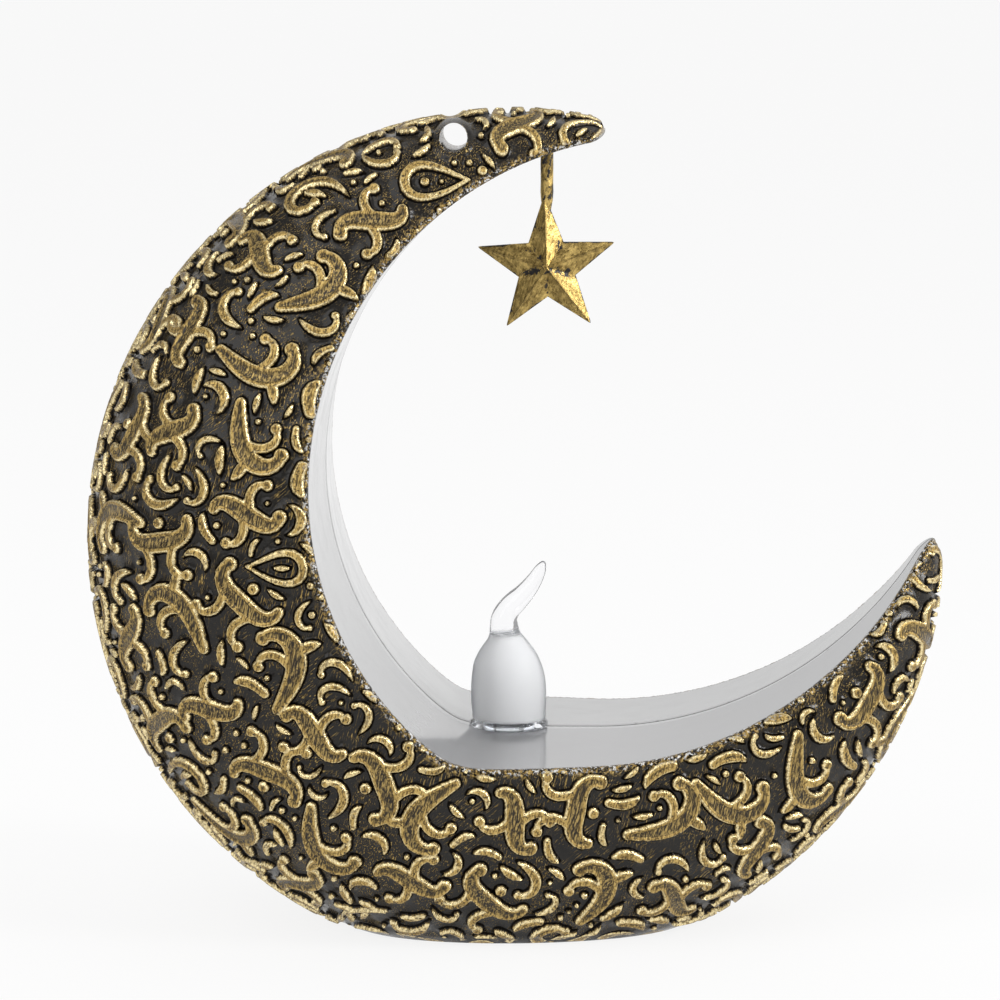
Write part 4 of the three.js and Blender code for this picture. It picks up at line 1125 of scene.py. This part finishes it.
def frosted_to_clear():
    material, tree, bsdf = node_set("frosted_to_clear")
    height = place_in(tree)["Z"]
    top = (floor_height + frosted_top) * mm
    collar = (floor_height + collar_top) * mm
    body = fade(tree, height, top + 0.0005, top - 0.0006)
    frost = sums(tree, "MULTIPLY", body, fade(tree, height, collar, collar + 0.0002))
    grain = noise(tree, 2200, 3, 0.6)
    put(tree, fade(tree, frost, 0, 1, 0.07, 0.45), bsdf.inputs["Roughness"])
    put(tree, blend_colour(tree, body, clear_tint, frost_tint), bsdf.inputs["Base Color"])
    cloudy = sums(tree, "MULTIPLY", frost, fade(tree, edge_on(tree), 0.4, 0.95, 0.74, 0.15))
    put(tree, sums(tree, "SUBTRACT", 1, cloudy), bsdf.inputs["Transmission Weight"])
    bsdf.inputs["Subsurface Weight"].default_value = 0.6
    bsdf.inputs["Subsurface Radius"].default_value = (1, 1, 1)
    bsdf.inputs["Subsurface Scale"].default_value = 0.001
    bsdf.inputs["IOR"].default_value = 1.3
    relief(tree, sums(tree, "MULTIPLY", grain, frost), 0.00004, 0.4, bsdf)
    return material


flame = flame_cover()
flame.data.materials.append(frosted_to_clear())
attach(flame, "lantern")
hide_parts("flame_cover")


# Star pendant. A cast star with a round stem, painted black and brushed with the same gold, which
# stays off the hollows near its middle. The stem's head is caught between the two half shells.

star_points = 5
star_radius = 11.9
star_notch = 4.9
star_half_thickness = 3.2
star_rim = 0.5
star_tilt = math.radians(2)
star_blunt_from = 11.3
star_blunt_width = 0.45
star_ridge = 0.14
star_ridge_width = 0.45
star_valley = 0.22
star_valley_width = 0.5
star_cast = 0.07
star_hollows = (0.2, 0.7, 0.55, 0.85, 0.35)
stem_radius = 1.05
stem_gap = 6.5
stem_hollow = 0.4
head_radius = 2.2
star_thin_gold = (0.12, 0.075, 0.02, 1)
star_gold = (0.74, 0.53, 0.18, 1)
star_black = (0.012, 0.01, 0.009, 1)
star_height = horn_under - stem_gap - star_radius


def star_pendant():
    """Faces of the cast star as fine nets, each between the middle, a point and a notch."""
    count = 16
    corners = 2 * star_points
    turn = math.pi / 2 + star_tilt - np.arange(corners) * math.pi / star_points
    reach = np.where(np.arange(corners) % 2 == 0, star_radius, star_notch)
    rim = np.stack([reach * np.cos(turn), reach * np.sin(turn)], -1)
    points, faces, hollow = [], [], []
    rows = [(i, j) for i in range(count + 1) for j in range(i + 1)]
    number = {spot: k for k, spot in enumerate(rows)}
    for side in (-1, 1):
        for k in range(corners):
            pair = (rim[k], rim[(k + 1) % corners]) if k % 2 == 0 else (rim[(k + 1) % corners], rim[k])
            start = len(points)
            for i, j in rows:
                out, to_notch = i / count, j / max(i, 1)
                x, z = out * (pair[0] * (1 - to_notch) + pair[1] * to_notch)
                blunt = max(0, math.hypot(x, z) - star_blunt_from)
                shorter = blunt - star_blunt_width * math.tanh(blunt / star_blunt_width)
                shorter = 1 - shorter / max(math.hypot(x, z), 1)
                rise = star_rim + (star_half_thickness - star_rim) * (1 - out)
                ridge = star_ridge * math.exp(-(to_notch * out * star_radius / star_ridge_width) ** 2)
                ridge *= min(1, 3 * out)
                valley = math.exp(-((1 - to_notch) * out * star_notch / star_valley_width) ** 2)
                valley *= math.sin(math.pi * out) ** 0.6
                wave = math.sin(1.9 * x + 0.7 * z + k) * math.sin(1.3 * z - 0.8 * x + 2 * k)
                cast = star_cast * wave * min(1, 4 * (1 - out), 4 * out, 5 * to_notch, 5 * (1 - to_notch))
                y = rise + (ridge - star_valley * valley) * min(1, 6 * (1 - out)) + cast
                points.append((star_x + x * shorter, side * y, star_height + z * shorter))
                depth = star_hollows[k // 2 if k % 2 == 0 else (k // 2) % star_points]
                hollow.append(max(valley * depth, 0.62 if i == count else 0))
            for i in range(count):
                for j in range(i + 1):
                    a, b, c = number[i, j], number[i + 1, j], number[i + 1, j + 1]
                    triangles = [(a, b, c)] + ([(a, c, number[i, j + 1])] if j < i else [])
                    turned = 1 if (side > 0) == (k % 2 == 0) else -1
                    for triangle in triangles:
                        faces.append(tuple(start + corner for corner in triangle)[::turned])
    faces_per_side = corners * len(rows)
    edge = []
    for k in range(corners):
        onwards = range(count + 1)[::1 if k % 2 == 0 else -1]
        edge += [k * len(rows) + number[count, j] for j in onwards]
    for first, second in zip(edge, edge[1:] + edge[:1]):
        faces.append((first, second, second + faces_per_side, first + faces_per_side))
    star = new_piece("star_pendant_cast", points, faces)
    mark(star, "hollow", hollow)
    closed = bmesh.new()
    closed.from_mesh(star.data)
    bmesh.ops.remove_doubles(closed, verts=closed.verts, dist=0.01 * mm)
    bmesh.ops.dissolve_degenerate(closed, edges=closed.edges, dist=0.001 * mm)
    bmesh.ops.recalc_face_normals(closed, faces=closed.faces)
    closed.to_mesh(star.data)
    closed.free()
    top = star_height + star_radius
    head_top = head_foot + head_height
    levels = [
        (top - 5, 0.35), (top - 3.6, 0.55), (top - 2.2, 0.75), (top - 1, 0.98), (top + 0.4, 1.08),
        (top + 2, 1.03), (horn_under - 2, 1.06), (horn_under, stem_radius), (head_foot, stem_radius),
        (head_foot, head_radius), (head_top, head_radius), (head_top, 0.4),
    ]
    turn = np.linspace(0, 2 * math.pi, 32, endpoint=False)
    cos, sin = np.cos(turn), np.sin(turn)
    rings = [np.stack([star_x + r * cos, r * sin, np.full(32, z)], -1) for z, r in levels]
    stem = ring_loft("stem", rings)
    mark(stem, "hollow", np.full(len(stem.data.vertices), stem_hollow))
    cut_away(star, stem, operation="UNION")
    star.data.shade_smooth()
    star.data.set_sharp_from_angle(angle=math.radians(32))
    return star


def brushed_gold():
    material, tree, bsdf = node_set("brushed_antique_gold")
    grain = noise(tree, 2600, 4, 0.65)
    brush = noise(tree, 2400, 3, 0.6, (1, 1, 5), (0, 0.3, 0))
    cloud = noise(tree, 620, 4, 0.65)
    pits = sums(tree, "ADD", sums(tree, "MULTIPLY", attribute(tree, "hollow"), 0.42), cloud)
    dark = fade(tree, sums(tree, "ADD", pits, fade(tree, brush, 0.3, 0.7, -0.1, 0.1)), 0.66, 0.74)
    rubbed = fade(tree, brush, 0.36, 0.5, 0.3, 1)
    shine = sums(tree, "MULTIPLY", rubbed, fade(tree, cloud, 0.35, 0.6, 1, 0.4))
    gold = blend_colour(tree, shine, star_thin_gold, star_gold)
    put(tree, blend_colour(tree, dark, gold, star_black), bsdf.inputs["Base Color"])
    put(tree, fade(tree, dark, 0, 1, 0.9, 0.1), bsdf.inputs["Metallic"])
    put(tree, fade(tree, grain, 0.3, 0.7, 0.26, 0.4), bsdf.inputs["Roughness"])
    relief(tree, sums(tree, "ADD", grain, brush), 0.00014, 0.6, bsdf)
    return material


star = star_pendant()
star.data.materials.append(brushed_gold())
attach(star, "star")
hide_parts("star_pendant")


# Base. A black cover with the battery well moulded on it closes the bottom, held by four screws.
# Three button cells lie in the well behind a hinged door, and a slide switch shows in its slot.

black, worn_black = (0.014, 0.014, 0.015), (0.032, 0.032, 0.034)
spark_black = plain_finish("spark_black", black, worn_black, 0.48, scale=2400, bump=0.00008)
refinish(spark_black, "bottom_cover", "battery_door", "switch_slider")
cell_steel = plain_finish("cell_steel", (0.55, 0.56, 0.57), (0.68, 0.69, 0.7), 0.24, metal=1, scale=1500)
refinish(cell_steel, "button_cell_1", "button_cell_2", "button_cell_3")
refinish(plain_finish("red_wire", (0.4, 0.03, 0.02), (0.55, 0.05, 0.04), 0.4), "switch_wire_1")
refinish(plain_finish("black_wire", (0.015, 0.015, 0.015), (0.03, 0.03, 0.03), 0.4), "switch_wire_2")
screw_steel = plain_finish("zinc_steel", (0.5, 0.51, 0.52), (0.66, 0.67, 0.68), 0.3, metal=1, scale=2000)
refinish(screw_steel, *[f"cover_screw_{number}" for number in range(1, 5)])


# Camera, at the photograph's place, height and lens.

camera = bpy.data.objects.new("camera", bpy.data.cameras.new("camera"))
bpy.context.scene.collection.objects.link(camera)
camera.location = (0.007826, -0.66256, 0.15572)
camera.rotation_euler = (math.pi / 2 - 0.1288, 0, 0.016)
camera.data.sensor_width = 36
camera.data.lens = 145.6
camera.data.clip_start = 0.01
bpy.context.scene.camera = camera


# Floor and light, for looking at the lantern.

def pale_stage():
    material, tree, bsdf = node_set("pale_floor")
    bsdf.inputs["Base Color"].default_value = (0.88, 0.88, 0.88, 1)
    bsdf.inputs["Roughness"].default_value = 0.6
    rays = tree.nodes.new("ShaderNodeLightPath")
    seen = sums(tree, "MAXIMUM", rays.outputs["Is Camera Ray"], rays.outputs["Is Glossy Ray"])
    seen = sums(tree, "MAXIMUM", seen, rays.outputs["Is Transmission Ray"])
    white = tree.nodes.new("ShaderNodeEmission")
    white.inputs["Strength"].default_value = 1
    mix = tree.nodes.new("ShaderNodeMixShader")
    tree.links.new(sums(tree, "MULTIPLY", seen, 0.86), mix.inputs["Fac"])
    tree.links.new(bsdf.outputs["BSDF"], mix.inputs[1])
    tree.links.new(white.outputs["Emission"], mix.inputs[2])
    tree.links.new(mix.outputs["Shader"], tree.nodes["Material Output"].inputs["Surface"])
    return material


floor_mesh = bpy.data.meshes.new("floor")
floor_mesh.from_pydata([(-30, -4, 0), (30, -4, 0), (30, 40, 0), (-30, 40, 0)], [], [(0, 1, 2, 3)])
stage_floor = bpy.data.objects.new("floor", floor_mesh)
bpy.context.scene.collection.objects.link(stage_floor)
stage_floor.data.materials.append(pale_stage())

world = bpy.data.worlds.new("studio")
bpy.context.scene.world = world
world.use_nodes = True
sky = world.node_tree
rays = sky.nodes.new("ShaderNodeLightPath")
background = sky.nodes["Background"]
background.inputs["Color"].default_value = (1, 1, 1, 1)
direction = place_in(sky, "Generated")
front_level, back_level = 0.42, 0.92
level = fade(sky, direction["Y"], -0.9, 0.1, front_level, back_level)
up_left = sums(sky, "SUBTRACT", direction["Z"], direction["X"])
shaded = fade(sky, up_left, 0.6, 1.3, 1, 0.36)
level = sums(sky, "MULTIPLY", level, shaded)
seen = sums(sky, "MAXIMUM", rays.outputs["Is Camera Ray"], rays.outputs["Is Transmission Ray"])
put(sky, sums(sky, "MAXIMUM", level, seen), background.inputs["Strength"])


def soft_lamp(name, at, aim, width, power):
    lamp = bpy.data.objects.new(name, bpy.data.lights.new(name, "AREA"))
    lamp.data.shape = "DISK"
    lamp.data.size = width
    lamp.data.energy = power
    lamp.location = at
    direction = np.array(aim) - np.array(at)
    yaw = math.atan2(direction[1], direction[0]) - math.pi / 2
    pitch = math.atan2(direction[2], math.hypot(direction[0], direction[1]))
    lamp.rotation_euler = (math.pi / 2 + pitch, 0, yaw)
    bpy.context.scene.collection.objects.link(lamp)


soft_lamp("key", (-0.75, -0.95, 1.1), (0, 0, 0.07), 1.8, 14)
soft_lamp("fill", (1.05, -0.5, 0.6), (0, 0, 0.07), 0.45, 7.5)
bpy.context.scene.view_settings.view_transform = "Standard"
